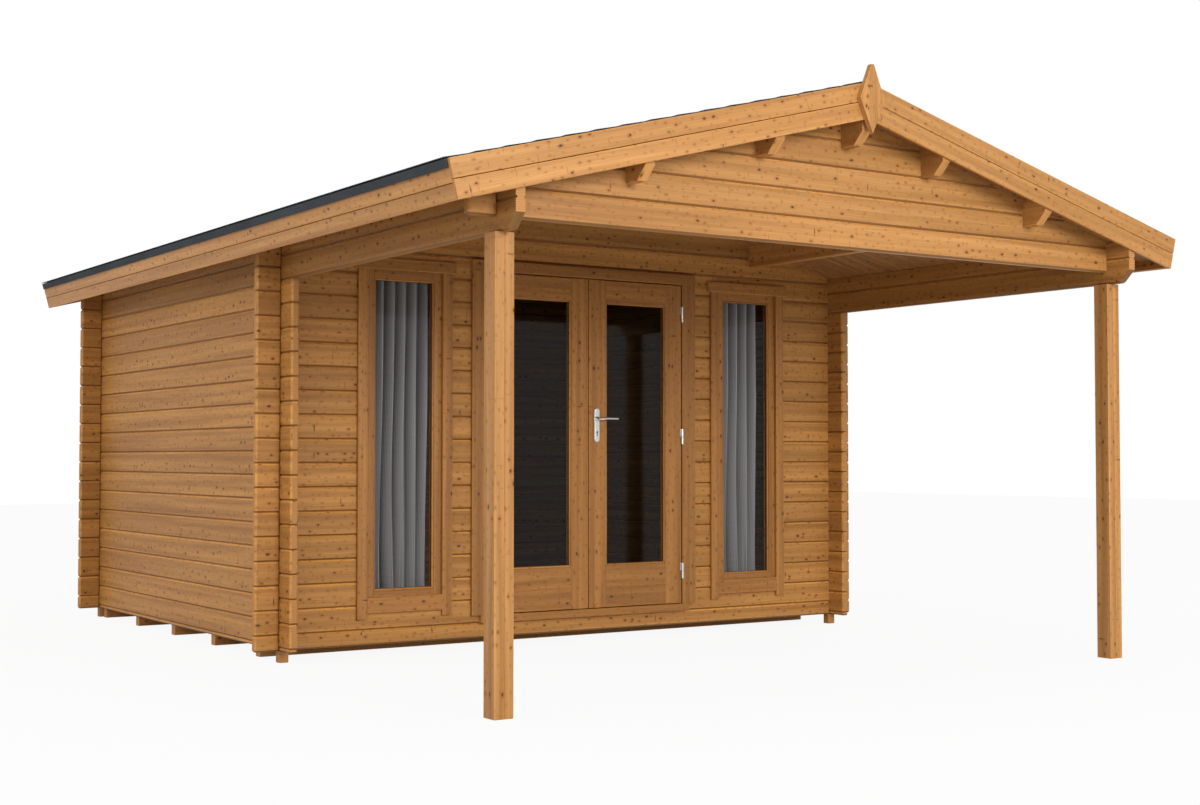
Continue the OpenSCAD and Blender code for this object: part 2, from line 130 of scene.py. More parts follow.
def spots(tree, grain, cell, radius, stretch, squeeze, present):
    """Mask of long spots, or of upright dashes: one point a cell, and its distance in metres."""
    scaled = add(tree, "VectorMath", {0: grain, 1: (1 / cell[0], 1 / cell[1], 0)}, operation="MULTIPLY")
    cells = add(tree, "TexVoronoi", {"Vector": scaled.outputs[0], "Scale": 1.0}, voronoi_dimensions="2D")
    away = add(tree, "VectorMath", {0: scaled.outputs[0], 1: cells.outputs["Position"]}, operation="SUBTRACT")
    metres = add(tree, "VectorMath", {0: away.outputs[0], 1: (cell[0] * stretch, cell[1] * squeeze, 0)},
                 operation="MULTIPLY")
    reach = add(tree, "VectorMath", {0: metres.outputs[0]}, operation="LENGTH")
    chance = add(tree, "SeparateColor", {"Color": cells.outputs["Color"]})
    rolled = add(tree, "MapRange", {"Value": chance.outputs[0], "From Min": 1 - present, "From Max": 1.0,
                                    "To Min": 0.0, "To Max": radius})
    height = add(tree, "SeparateXYZ", {0: grain})
    inward = add(tree, "Math", {0: height.outputs[1], 1: LOG_MIDDLE}, operation="PINGPONG")
    swell = add(tree, "MapRange", {"Value": inward.outputs[0], "From Min": 0.01, "From Max": LOG_MIDDLE,
                                   "To Min": KNOT_SWELL[0], "To Max": KNOT_SWELL[1]})
    size = add(tree, "Math", {0: rolled.outputs[0], 1: swell.outputs[0]}, operation="MULTIPLY")
    edge = add(tree, "Math", {0: size.outputs[0], 1: reach.outputs["Value"]}, operation="SUBTRACT")
    core = add(tree, "MapRange", {"Value": edge.outputs[0], "From Min": 0.0, "From Max": radius * 0.35})
    halo = add(tree, "MapRange", {"Value": edge.outputs[0], "To Max": 0.75,
                                  "From Min": -radius * 1.3, "From Max": radius * 0.3})
    return core.outputs[0], halo.outputs[0]


print("knots up to", round(2000 * KNOT_R * KNOT_SWELL[1]), "mm across")

# %% [markdown]
# The wood's colour is built up in the order in which it is seen: wide soft bands first, then the growth
# lines and the board's own tone, and the knots with their rusty halos last.

# %% Softwood
def softwood(name, pale, mid, deep, knot, rust, roughness=0.58, knotty=0.60):
    """Stained spruce: bands and growth lines along the grain, knots in rows, and a tone for each board."""
    made, tree, surface = shader(name, roughness, Specular_IOR_Level=0.35)
    grain = add(tree, "UVMap", uv_map="grain").outputs[0]
    drift = add(tree, "Mapping", {"Vector": grain, "Scale": (1.3, 5.0, 1)})
    sway = add(tree, "TexNoise", {"Vector": drift.outputs[0], "Scale": 1.0, "Detail": 1.0},
               noise_dimensions="2D")
    warped = add(tree, "VectorMath", {0: sway.outputs["Color"], 1: (0, 0.016, 0), 2: grain},
                 operation="MULTIPLY_ADD")
    # bands about 35 mm wide, more than a metre long
    band_place = add(tree, "Mapping", {"Vector": warped.outputs[0], "Scale": (0.5, 27, 1)})
    band = add(tree, "TexNoise", {"Vector": band_place.outputs[0], "Scale": 1.0, "Detail": 2.0},
               noise_dimensions="2D")
    ramp = add(tree, "ValToRGB", {"Fac": band.outputs[0]})
    stops = ramp.color_ramp.elements
    stops[0].position, stops[0].color = 0.24, colour(deep)
    stops[1].position, stops[1].color = 0.76, colour(pale)
    stops.new(0.5).color = colour(mid)
    # growth lines about 3 mm apart
    line_place = add(tree, "Mapping", {"Vector": warped.outputs[0], "Scale": (4.0, 330, 1)})
    line = add(tree, "TexNoise", {"Vector": line_place.outputs[0], "Scale": 1.0, "Detail": 2.0},
               noise_dimensions="2D")
    line_tone = add(tree, "MapRange", {"Value": line.outputs[0], "From Min": 0.3, "From Max": 0.7,
                                       "To Min": 0.87, "To Max": 1.10})
    # the tone gives each board its own colour tone, and paints shade under a log and a highlight on its upper
    # edge
    board_tone = add(tree, "MapRange", {"Value": add(tree, "Attribute", attribute_name="tone").outputs["Fac"],
                                        "From Min": -1.0, "To Min": 0.89, "To Max": 1.09}, clamp=False)
    both = add(tree, "Math", {0: line_tone.outputs[0], 1: board_tone.outputs[0]}, operation="MULTIPLY")
    toned = add(tree, "VectorMath", {0: ramp.outputs[0], "Scale": both.outputs[0]}, operation="SCALE")
    # knots and branch marks have ragged outlines: their map is shaken by about 3 mm
    rag_place = add(tree, "Mapping", {"Vector": grain, "Scale": (70, 110, 1)})
    rag = add(tree, "TexNoise", {"Vector": rag_place.outputs[0], "Scale": 1.0, "Detail": 1.0},
              noise_dimensions="2D")
    shaken = add(tree, "VectorMath", {0: rag.outputs["Color"], 1: (0.008, 0.006, 0), 2: grain},
                 operation="MULTIPLY_ADD").outputs[0]
    core, halo = spots(tree, shaken, KNOT_CELL, KNOT_R, KNOT_STRETCH, 1.0, knotty)
    dash, dash_halo = spots(tree, shaken, DASH_CELL, DASH_R, 1.0, DASH_SQUEEZE, knotty * 0.6)
    ring = add(tree, "Math", {0: halo, 1: dash_halo}, operation="MAXIMUM")
    dark = add(tree, "Math", {0: core, 1: dash}, operation="MAXIMUM")
    warm = add(tree, "Mix", {"Factor": ring.outputs[0], 6: toned.outputs[0], 7: colour(rust)},
               data_type="RGBA")
    final = add(tree, "Mix", {"Factor": dark.outputs[0], 6: warm.outputs[2], 7: colour(knot)},
                data_type="RGBA")
    tree.links.new(final.outputs[2], surface.inputs["Base Color"])
    bump = add(tree, "Bump", {"Height": line.outputs[0], "Strength": 0.35, "Distance": 0.0008})
    tree.links.new(bump.outputs[0], surface.inputs["Normal"])
    return made


# %% End grain and the four stains
def end_grain(name, pale, deep):
    """The sawn end of a log: growth rings about 5 mm apart, darker because the ends drink more stain."""
    made, tree, surface = shader(name, 0.7, Specular_IOR_Level=0.25)
    grain = add(tree, "UVMap", uv_map="grain").outputs[0]
    place = add(tree, "Mapping", {"Vector": grain, "Scale": (1, 1, 1), "Location": (0.013, 0.02, 0)})
    rings = add(tree, "TexWave",
                {"Vector": place.outputs[0], "Scale": 32.0, "Distortion": 1.5, "Detail": 2.0},
                wave_type="RINGS", rings_direction="Z")
    tone = add(tree, "Mix", {"Factor": rings.outputs["Fac"], 6: colour(deep), 7: colour(pale)},
               data_type="RGBA")
    tree.links.new(tone.outputs[2], surface.inputs["Base Color"])
    return made


# the stain is warm and even on planed logs, and the knots show through
log_stain = softwood("stained spruce logs", "#BC8643", "#AD783A", "#99672E", "#4A280D", "#8A501C")
# the boards and posts are newer-looking and paler, with a pinkish cast
trim_stain = softwood("stained spruce trim", "#C18B4E", "#B27D42", "#9E6C35", "#4C2A0F", "#8F5522",
                      roughness=0.52, knotty=0.42)
# doors, windows and their casings took the stain a little deeper
joinery_stain = softwood("stained spruce joinery", "#AE783A", "#A06B31", "#8C5B27", "#3C200B", "#7C481B",
                         roughness=0.48, knotty=0.36)
# the roof boards and floor get the same stain, drawn darker as painted shade because they are seen in shade
board_stain_and_shade = softwood("stained spruce boards in painted shade", "#A97842", "#9A6A37", "#85592C", "#40230E", "#7A4A20", 0.65)
log_end = end_grain("stained spruce end grain", "#B98550", "#AB7742")
WOODS = {
    "joinery": (joinery_stain, log_end),
    "log": (log_stain, log_end),
    "trim": (trim_stain, log_end),
    "board": (board_stain_and_shade, log_end),
}
print("softwoods:", ", ".join(WOODS))

# %% [markdown]
# ## Felt, steel, glass and cloth
# The roof is covered with charcoal mineral felt, which is gritty and matt. The door furniture is satin
# stainless steel. The panes are clear double glass with a weak reflection; the room behind is dark, and a
# thin dark-brown film on the glass paints that shade. The curtains are a plain grey weave.

# %% Felt and steel
def mineral_felt():
    """Crushed slate pressed into bitumen; the real 1 mm grit is drawn at 3 mm so that it shows."""
    made, tree, surface = shader("charcoal mineral felt", 0.92, Specular_IOR_Level=0.2)
    place = add(tree, "TexCoord").outputs["Object"]
    grit = add(tree, "TexNoise", {"Vector": place, "Scale": 330.0, "Detail": 2.0})
    patch = add(tree, "TexNoise", {"Vector": place, "Scale": 2.2, "Detail": 3.0})
    cloudy = add(tree, "Math", {0: patch.outputs[0], 1: 0.35}, operation="MULTIPLY")
    blend = add(tree, "Math", {0: grit.outputs[0], 1: 0.65, 2: cloudy.outputs[0]}, operation="MULTIPLY_ADD")
    board_tone = add(tree, "Attribute", attribute_name="tone").outputs["Fac"]
    value = add(tree, "Math", {0: board_tone, 1: 0.09, 2: blend.outputs[0]}, operation="MULTIPLY_ADD")
    ramp = add(tree, "ValToRGB", {"Fac": value.outputs[0]})
    stops = ramp.color_ramp.elements
    stops[0].position, stops[0].color = 0.32, colour("#1E2124")
    stops[1].position, stops[1].color = 0.70, colour("#4B4F53")
    tree.links.new(ramp.outputs[0], surface.inputs["Base Color"])
    bump = add(tree, "Bump", {"Height": grit.outputs[0], "Strength": 0.5, "Distance": 0.0012})
    tree.links.new(bump.outputs[0], surface.inputs["Normal"])
    return made


def satin_steel(name, shade, roughness):
    """Stainless steel ground to a satin: the fine lines blur what it mirrors."""
    made, tree, surface = shader(name, roughness, Metallic=1.0)
    place = add(tree, "Mapping", {"Vector": add(tree, "TexCoord").outputs["Object"], "Scale": (900, 900, 60)})
    lines = add(tree, "TexNoise", {"Vector": place.outputs[0], "Scale": 1.0, "Detail": 1.0})
    tone = add(tree, "MapRange", {"Value": lines.outputs[0], "From Min": 0.3, "From Max": 0.7,
                                  "To Min": 0.9, "To Max": 1.0})
    lit = add(tree, "VectorMath", {0: colour(shade)[:3], "Scale": tone.outputs[0]}, operation="SCALE")
    tree.links.new(lit.outputs[0], surface.inputs["Base Color"])
    return made


# %% Glass and cloth
def window_glass():
    """Float glass: mostly clear, with a thin mirror of what is outside, and a dark-brown film of painted room
    shade.
    """
    made, tree, surface = shader("double glazing", 0.03, Alpha=0.22, IOR=1.5)
    place = add(tree, "TexCoord").outputs["Object"]
    room_shade_patches = add(tree, "TexNoise", {"Vector": place, "Scale": 3.0, "Detail": 2.0})
    # painted shade: a thin dark-brown film, in patches, stands in for the dark room behind the glass
    tone = add(tree, "Mix", {"Factor": room_shade_patches.outputs[0], 6: colour("#0F0A06"), 7: colour("#1C140C")},
               data_type="RGBA")
    tree.links.new(tone.outputs[2], surface.inputs["Base Color"])
    return made


def curtain_weave():
    """A plain woven polyester: threads about 1 mm apart, drawn at 2 mm, and a soft sheen."""
    made, tree, surface = shader("grey curtain weave", 0.85, Sheen_Weight=0.25, Sheen_Roughness=0.5)
    cloth = add(tree, "UVMap", uv_map="grain").outputs[0]
    threads = []
    for direction in ("X", "Y"):
        wave = add(tree, "TexWave", {"Vector": cloth, "Scale": 160.0}, bands_direction=direction)
        threads.append(wave.outputs["Fac"])
    weave = add(tree, "Math", {0: threads[0], 1: threads[1]}, operation="MULTIPLY")
    tone = add(tree, "Mix", {"Factor": weave.outputs[0], 6: colour("#C2C2C3"), 7: colour("#D4D4D4")},
               data_type="RGBA")
    # painted shade: the cloth is drawn darker down in the folds and lighter on the ridges
    depth = add(tree, "MapRange", {"Value": add(tree, "Attribute", attribute_name="tone").outputs["Fac"],
                                   "From Min": -1.0, "To Min": 0.02, "To Max": 1.5})
    painted_fold_shade = add(tree, "VectorMath", {0: tone.outputs[2], "Scale": depth.outputs[0]}, operation="SCALE")
    tree.links.new(painted_fold_shade.outputs[0], surface.inputs["Base Color"])
    bump = add(tree, "Bump", {"Height": weave.outputs[0], "Strength": 0.2, "Distance": 0.0004})
    tree.links.new(bump.outputs[0], surface.inputs["Normal"])
    return made


felt = mineral_felt()
steel = satin_steel("satin stainless steel", "#CFCFCB", 0.32)
# the keyholes are thin near-black shapes on the plates: painted shade in place of open holes
keyhole_painted_shade = satin_steel("keyhole painted shade", "#1A1A1A", 0.5)
glass = window_glass()
cloth = curtain_weave()
print("finishes:", ", ".join(m.name for m in (felt, steel, keyhole_painted_shade, glass, cloth)))

# %% [markdown]
# ## A board
# A log, a post and a bargeboard are all one thing: a straight piece of timber with eased long edges. A board
# could be a cube with a Bevel modifier, but a bevel in the mesh lets each one be cut along the roof line
# afterwards and keep a map that follows its own grain. Each board gets a key: pieces of the same log share a
# key, so their grain runs on past a window.

# %% Grain map
AXES = (0, 1, 2)
X, Y, Z = AXES
# the tone attribute holds each board's own tone, plus painted shade and highlight on log chamfers and in
# curtain folds
GRAIN, TONE = "grain", "tone"     # the map and the tone that the wood materials read
# tones of chamfers: painted shade under a log, a painted highlight on its upper edge, other chamfers lighter
PAINTED_UNDER_SHADE, PAINTED_UPPER_HIGHLIGHT, OTHER_EDGE = -5.0, 5.0, 2.4
LOG_ROWS = 3                      # rows of knot cells in the height of one log
LONGEST_START = 40                # metres of grain pattern that a board may start along
ON_FACE, ON_END, ON_JOINT = 0.9, 0.75, 0.3    # share of a normal that tells faces, ends and joints apart


def new_piece():
    """An empty mesh with a grain map and room for each face's tone."""
    bm = bmesh.new()
    bm.loops.layers.uv.new(GRAIN)
    bm.faces.layers.float.new(TONE)
    return bm


def map_grain(bm, along, key, low, jointed=False):
    """Gives each face its place along and across the grain, in metres, and its tone: the board's own,
    lighter on chamfers, with painted shade under a log and a painted highlight on its upper edge.
    """
    chance = random.Random(key)
    start = chance.uniform(0, LONGEST_START)
    row = chance.randrange(1, 300) * KNOT_CELL[1] * LOG_ROWS
    tone = chance.uniform(-1, 1)
    uv, tones = bm.loops.layers.uv[GRAIN], bm.faces.layers.float[TONE]
    side_a, side_b = [a for a in AXES if a != along]
    bm.normal_update()
    for face in bm.faces:
        face[tones] = tone
        if max(abs(n) for n in face.normal) < ON_FACE:
            face[tones] = tone + OTHER_EDGE
            # painted shade on a log's lower chamfer and a painted highlight on its upper one, at the V-joints
            if jointed and abs(face.normal[Z]) > ON_JOINT:
                face[tones] = PAINTED_UNDER_SHADE if face.normal[Z] < 0 else PAINTED_UPPER_HIGHLIGHT
        is_end = abs(face.normal[along]) > ON_END
        face.material_index = 1 if is_end else 0
        across = side_b if abs(face.normal[side_a]) > abs(face.normal[side_b]) else side_a
        for loop in face.loops:
            p = loop.vert.co
            if is_end:
                loop[uv].uv = (p[side_a] - low[side_a], p[side_b] - low[side_b] + start)
            else:
                loop[uv].uv = (p[along] + start, p[across] - low[across] + row)


print("grain map: metres along and across each board")

# %% Board helper
LEVEL = Matrix.Identity(4)        # for a board that stays as it is laid
EASE = 0.003                      # chamfer on a planed board's long edges
V_EDGE = 0.0090                   # chamfer on a log's long edges; two of them make the V-joint


def pour(piece, bm):
    """Adds one finished board to a piece."""
    carrier = bpy.data.meshes.new("carrier")
    bm.to_mesh(carrier)
    bm.free()
    piece.from_mesh(carrier)
    bpy.data.meshes.remove(carrier)


def bevel(bm, edges, width, segments=1):
    """Eases edges: one segment makes a chamfer, more make a rounding."""
    bmesh.ops.bevel(bm, geom=edges, offset=width, offset_type="OFFSET", segments=segments, profile=0.5,
                    affect="EDGES", material=-1)


def board(piece, low, high, along, key, ease=EASE, ends=False, cuts=(), turn=LEVEL):
    """A board between two corners, eased, cut by planes in the shed's frame, and turned into place."""
    low, high = Vector(low), Vector(high)
    bm = new_piece()
    size = high - low
    block = Matrix.Translation((low + high) / 2) @ Matrix.Diagonal((*size, 1))
    bmesh.ops.create_cube(bm, size=1.0, matrix=block)
    chosen = [e for e in bm.edges if ends or abs((e.verts[0].co - e.verts[1].co)[along]) > size[along] / 2]
    bevel(bm, chosen, ease)
    back = turn.inverted()
    for point, normal in cuts:
        cut = bmesh.ops.bisect_plane(bm, geom=bm.verts[:] + bm.edges[:] + bm.faces[:], clear_outer=True,
                                     plane_co=back @ Vector(point), plane_no=back.to_3x3() @ Vector(normal))
        rim = [e for e in cut["geom_cut"] if isinstance(e, bmesh.types.BMEdge)]
        if rim:
            bmesh.ops.holes_fill(bm, edges=rim, sides=0)
    if bm.faces:
        map_grain(bm, along, key, low, ease == V_EDGE)
        bmesh.ops.transform(bm, matrix=turn, verts=bm.verts)
    pour(piece, bm)


print("boards: planed edges eased by", EASE * 1000, "mm")

# %% [markdown]
# A finished piece rides on one body, has a material slot, and hides the CAD nodes that it stands for.

# %% Piece helper
made_pieces = []


def finish_piece(piece, name, materials, body="shed", replaces=(), smooth=False):
    """Turns a bmesh into a piece that rides on a body and stands for its CAD nodes."""
    mesh = bpy.data.meshes.new(name)
    if smooth:
        for face in piece.faces:
            face.smooth = True
    piece.to_mesh(mesh)
    piece.free()
    obj = bpy.data.objects.new(name, mesh)
    for finish in materials:
        mesh.materials.append(finish)
    bpy.context.collection.objects.link(obj)
    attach(obj, body)
    if replaces:
        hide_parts(*replaces)
    made_pieces.append(obj)
    print(f"{name}: {len(mesh.polygons)} faces")
    return obj


print("pieces so far:", len(made_pieces))

# %% [markdown]
# ## The frame's own sizes
# A few sizes drive everything: the height of a log, the roof's slope, and the boxes of the CAD nodes.

# %% Sizes from the frame
LOG_H = 0.125                     # height of one log
PITCH = 0.26                      # rise of the roof for each metre of run
SLOPE = math.atan(PITCH)
THINNEST_LOG = 0.001              # no joint lies nearer than this to the edge of a wall
MOST_LOGS = 30

BASE_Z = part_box("left_wall")[0][Z]
FRONT_LOW, FRONT_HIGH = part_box("front_wall_sill")
JOINT_A = FRONT_HIGH[Z]           # first joint of the front and back walls, over the starter log
JOINT_B = JOINT_A + LOG_H / 2     # the side walls' joints lie half a log higher
CEILING_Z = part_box("ridge_purlin")[1][Z]
RIDGE_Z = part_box("right_roof_covering")[1][Z]
NOSE_Y, TAIL_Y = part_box("right_roof_boards")[0][Y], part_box("right_roof_boards")[1][Y]
CEILING = [((0, 0, CEILING_Z), (side * math.sin(SLOPE), 0, math.cos(SLOPE))) for side in (-1, 1)]


def courses(bottom, top, first_joint):
    """The lowest and highest edge of each log between two heights."""
    joints = [first_joint + LOG_H * k for k in range(-1, MOST_LOGS)]
    inside = [z for z in joints if bottom + THINNEST_LOG < z < top - THINNEST_LOG]
    edges = [bottom] + inside + [top]
    return list(zip(edges, edges[1:]))


def slope_turn(side):
    """Turns a board that lies flat under the ridge onto the right (1) or left (-1) slope."""
    return Matrix.Translation((0, 0, RIDGE_Z)) @ Matrix.Rotation(side * SLOPE, 4, "Y")


print("log joints from", round(JOINT_A, 4), "and", round(JOINT_B, 4), "m")
print("roof slope", round(math.degrees(SLOPE), 2), "degrees")


# %% [markdown]
# ## Log walls
# Each wall is a stack of logs. The logs have a tongue and groove that can't be seen, and chamfered edges that
# make a V-joint, with painted shade on the lower chamfer and a painted highlight on the upper one. Logs of
# the front and back walls and of the side walls lie half a log apart, which is how they lock at the corners.
# Where a window is let in, the log is cut and the window casing covers the cut.

# %% Log walls
def log_stack(piece, name, low, high, along, first_joint, ends=False, cuts=(), hole=None):
    """Stacks logs between two corners; hole is the lowest and highest x and z of a window."""
    for bottom, top in courses(low[Z], high[Z], first_joint):
        key = f"{name} {round(top / LOG_H, 1)}"
        parts = [(low[along], high[along], bottom, top)]
        if hole and bottom < hole[3] and top > hole[2]:
            parts = [(low[along], hole[0], bottom, top), (hole[1], high[along], bottom, top)]
            if bottom < hole[2]:
                parts.append((hole[0], hole[1], bottom, hole[2]))
            if top > hole[3]:
                parts.append((hole[0], hole[1], hole[3], top))
        for start, stop, z0, z1 in parts:
            part_low, part_high = [low[0], low[1], z0], [high[0], high[1], z1]
            part_low[along], part_high[along] = start, stop
            board(piece, part_low, part_high, along, key, V_EDGE, ends, cuts)


for name in ("left_wall", "right_wall"):
    walls = new_piece()
    low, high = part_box(name)
    log_stack(walls, name, low, high, Y, JOINT_B, ends=True)
    finish_piece(walls, name + "_logs", WOODS["log"], replaces=[name])

back_low, back_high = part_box("back_wall")
walls = new_piece()
log_stack(walls, "back", back_low, (back_high[X], back_high[Y], CEILING_Z), X, JOINT_A, cuts=CEILING)
finish_piece(walls, "back_wall_logs", WOODS["log"], replaces=["back_wall"])

# %% [markdown]
# The front wall is made of the pieces beside the doorway, the starter log under it and the gable over it.
# They share the name "front" in their keys, so a log that runs past the doorway keeps its colour.

# %% Front wall
WINDOW_X = 1.162                  # a window's middle from the shed's middle
GABLE_Z = JOINT_A + 16 * LOG_H    # the gable rises over sixteen logs and the starter log
gable_key = f"front {round(GABLE_Z / LOG_H, 1)}"
sash_low, sash_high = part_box("window_sashes")
for name, side in (("front_wall_left", -1), ("front_wall_right", 1)):
    low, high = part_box(name)
    near = -sash_low[X] if side < 0 else sash_high[X]
    half = near - WINDOW_X
    hole = (side * WINDOW_X - half, side * WINDOW_X + half, sash_low[Z], sash_high[Z])
    walls = new_piece()
    log_stack(walls, "front", low, (high[X], high[Y], GABLE_Z), X, JOINT_A, hole=hole)
    finish_piece(walls, name + "_logs", WOODS["log"], replaces=[name])
walls = new_piece()
log_stack(walls, "front", FRONT_LOW, FRONT_HIGH, X, JOINT_A)
finish_piece(walls, "front_sill_log", WOODS["log"], replaces=["front_wall_sill"])

low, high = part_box("front_gable")
walls = new_piece()
door_half = FRONT_HIGH[X]
board(walls, (-door_half, low[Y], low[Z]), (door_half, high[Y], GABLE_Z), X, gable_key, V_EDGE)
log_stack(walls, "front", (low[X], low[Y], GABLE_Z), (high[X], high[Y], CEILING_Z), X, JOINT_A, cuts=CEILING)
finish_piece(walls, "front_gable_logs", WOODS["log"], replaces=["front_gable"])

# %% [markdown]
# ## Corners, plates and the porch gable
# Past each corner the logs end in short stubs, eased all round. The plates are the top logs of the side
# walls, which run on over the porch and carry its gable. Their front ends are cut off at an angle below.

# %% Log ends
ends_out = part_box("log_ends")[1][X]
wall_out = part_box("right_wall")[1][X]
log_t = FRONT_HIGH[Y] - FRONT_LOW[Y]
porch_low, porch_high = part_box("porch_gable")
ends_top = CEILING_Z - PITCH * wall_out
stubs = new_piece()
for side in (-1, 1):
    x0, x1 = sorted((side * wall_out, side * ends_out))
    for name, y0, z0 in (("front", FRONT_LOW[Y], BASE_Z), ("back", back_low[Y], BASE_Z),
                         ("porch", porch_low[Y], porch_low[Z])):
        for z_low, z_high in courses(z0, ends_top, JOINT_A):
            board(stubs, (x0, y0, z_low), (x1, y0 + log_t, z_high), X, f"{name} {round(z_high / LOG_H, 1)}",
                  V_EDGE, True, CEILING)
finish_piece(stubs, "corner_log_ends", WOODS["log"], replaces=["log_ends"])

# %% [markdown]
# The cut under a plate's nose is one plane, at 45 degrees through the end of the chamfer. The porch gable's
# logs are cut along both slopes of the ceiling.

# %% Plates and porch gable
def nose_cut(z, chamfer, y):
    """A plane that cuts a 45 degree chamfer under the front end of a beam."""
    return ((0, y + chamfer, z), (0, -math.sqrt(0.5), -math.sqrt(0.5)))


PLATE_CHAMFER, PURLIN_CHAMFER = 0.066, 0.060
for name in ("left_wall_plate", "right_wall_plate"):
    low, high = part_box(name)
    plates = new_piece()
    log_stack(plates, name, low, high, Y, JOINT_B, cuts=CEILING + [nose_cut(low[Z], PLATE_CHAMFER, low[Y])])
    finish_piece(plates, name + "_logs", WOODS["log"], replaces=[name])

walls = new_piece()
log_stack(walls, "porch", porch_low, (porch_high[X], porch_high[Y], CEILING_Z), X, JOINT_A, cuts=CEILING)
finish_piece(walls, "porch_gable_logs", WOODS["trim"], replaces=["porch_gable"])

# %% [markdown]
# ## Posts and purlins
# A post is two boards glued face to face, which leaves a fine line down its middle, with its corners eased.
# The purlins carry the roof boards and run from the back of the roof to the front of the porch.

# %% Posts and purlins
PURLIN_DEPTH = 0.124


def laminated(piece, low, high, key):
    """A post of two boards with a fine glue line between them."""
    middle = (low[X] + high[X]) / 2
    board(piece, low, (middle, high[Y], high[Z]), Z, key + " a")
    board(piece, (middle, low[Y], low[Z]), high, Z, key + " b")


for name in ("left_post", "right_post"):
    posts = new_piece()
    low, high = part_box(name)
    laminated(posts, low, high, name)
    finish_piece(posts, name + "_timber", WOODS["trim"], replaces=[name])

SIDES = {"left": -1, "ridge": 0, "right": 1}
beam_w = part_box("ridge_purlin")[1][X] * 2
for name in ("ridge_purlin", "left_purlins", "right_purlins"):
    beams = new_piece()
    low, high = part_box(name)
    side = SIDES[name.split("_")[0]]
    middles = [0.0] if side == 0 else [side * (min(abs(low[X]), abs(high[X])) + beam_w / 2),
                                       side * (max(abs(low[X]), abs(high[X])) - beam_w / 2)]
    for middle in middles:
        under = low[Z] if side == 0 else CEILING_Z - PITCH * abs(middle) - PURLIN_DEPTH
        far_cut = ((0, high[Y] - PURLIN_CHAMFER, under), (0, math.sqrt(0.5), -math.sqrt(0.5)))
        board(beams, (middle - beam_w / 2, low[Y], under), (middle + beam_w / 2, high[Y], CEILING_Z), Y,
              f"{name} {middle:.2f}", cuts=CEILING + [nose_cut(under, PURLIN_CHAMFER, low[Y]), far_cut])
    finish_piece(beams, name + "_beams", WOODS["trim"], replaces=[name])

# %% [markdown]
# ## Roof boards
# From the porch the underside of the roof shows: narrow tongue-and-groove boards that run from the ridge to
# the eaves. Only this lowest layer is seen, so the insulation over it is left out.

# %% Roof boards
ROOF_T = 0.114                    # boards and covering together, square to the slope
COVER_T = 0.030
CEILING_BOARD_T, CEILING_EASE = 0.020, 0.004
BOARD_W = 0.088
START = 0.010                     # at the ceiling's depth this start is past the ridge, and gets cut plumb
eaves_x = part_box("right_roof_boards")[1][X]
SLOPE_LEN = (eaves_x + COVER_T * math.sin(SLOPE)) / math.cos(SLOPE)
PLUMB_CUT = {1: ((0.001, 0, 0), (-1, 0, 0)), -1: ((-0.001, 0, 0), (1, 0, 0))}
count = round((TAIL_Y - NOSE_Y) / BOARD_W)
width = (TAIL_Y - NOSE_Y) / count
for name, side in (("left_roof_boards", -1), ("right_roof_boards", 1)):
    boards = new_piece()
    s0, s1 = sorted((side * START, side * SLOPE_LEN))
    for i in range(count):
        y = NOSE_Y + i * width
        board(boards, (s0, y, -ROOF_T), (s1, y + width, -ROOF_T + CEILING_BOARD_T), X, f"{name} {i}",
              CEILING_EASE, cuts=[PLUMB_CUT[side]], turn=slope_turn(side))
    finish_piece(boards, name + "_lining", WOODS["board"], replaces=[name])

# %% [markdown]
# ## Felt shingles
# The covering is a base sheet under strips of shingles. Each strip overlaps the one below, so its lower edge
# stands about 4 mm proud, and slots cut it into tabs. Neighbouring rows are shifted by half a tab. Tilted
# thin boards make them, with their low edges towards the eaves; the CAD covering stays as the base sheet.

# %% Shingles
TAB_W, TAB_SHOW, TAB_SLOT = 0.333, 0.145, 0.006       # a tab's width, the height that shows, its slot
TAB_PROUD, FELT_T, FELT_EASE = 0.004, 0.0035, 0.0008  # how far a low edge stands out, and the felt itself
EAVES_PAST = 0.030                # the lowest strip hangs over the eaves
STRIP_LAP = 0.010                 # a strip runs on under the one above it
RIDGE_CLEAR, TAB_LIFT = 0.004, 0.0005
SMALLEST = 0.020                  # offcuts under this length are left out
for node in ("left_roof_covering", "right_roof_covering"):
    for material_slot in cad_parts[node].material_slots:
        material_slot.material = felt
rows = math.floor((SLOPE_LEN + EAVES_PAST) / TAB_SHOW)
for name, side in (("left_shingles", -1), ("right_shingles", 1)):
    tabs = new_piece()
    for row in range(rows + 1):
        edge = SLOPE_LEN + EAVES_PAST - row * TAB_SHOW
        top = max(edge - TAB_SHOW - STRIP_LAP, RIDGE_CLEAR)
        if edge - top < SMALLEST:
            continue
        lean = Matrix.Rotation(-side * TAB_PROUD / TAB_SHOW, 4, "Y")
        place = slope_turn(side) @ Matrix.Translation((side * top, 0, TAB_LIFT)) @ lean
        s0, s1 = sorted((0, side * (edge - top)))
        start = NOSE_Y - (TAB_W / 2 if row % 2 else 0)
        for i in range(math.ceil((TAIL_Y - start) / TAB_W)):
            y0 = max(start + i * TAB_W + TAB_SLOT / 2, NOSE_Y)
            y1 = min(start + (i + 1) * TAB_W - TAB_SLOT / 2, TAIL_Y)
            if y1 - y0 > SMALLEST:
                board(tabs, (s0, y0, 0), (s1, y1, FELT_T), X, f"{name} {row} {i}", FELT_EASE, turn=place)
    finish_piece(tabs, name, (felt, felt))

# %% [markdown]
# Along the ridge, short strips are folded over the top, each lapping the one before.

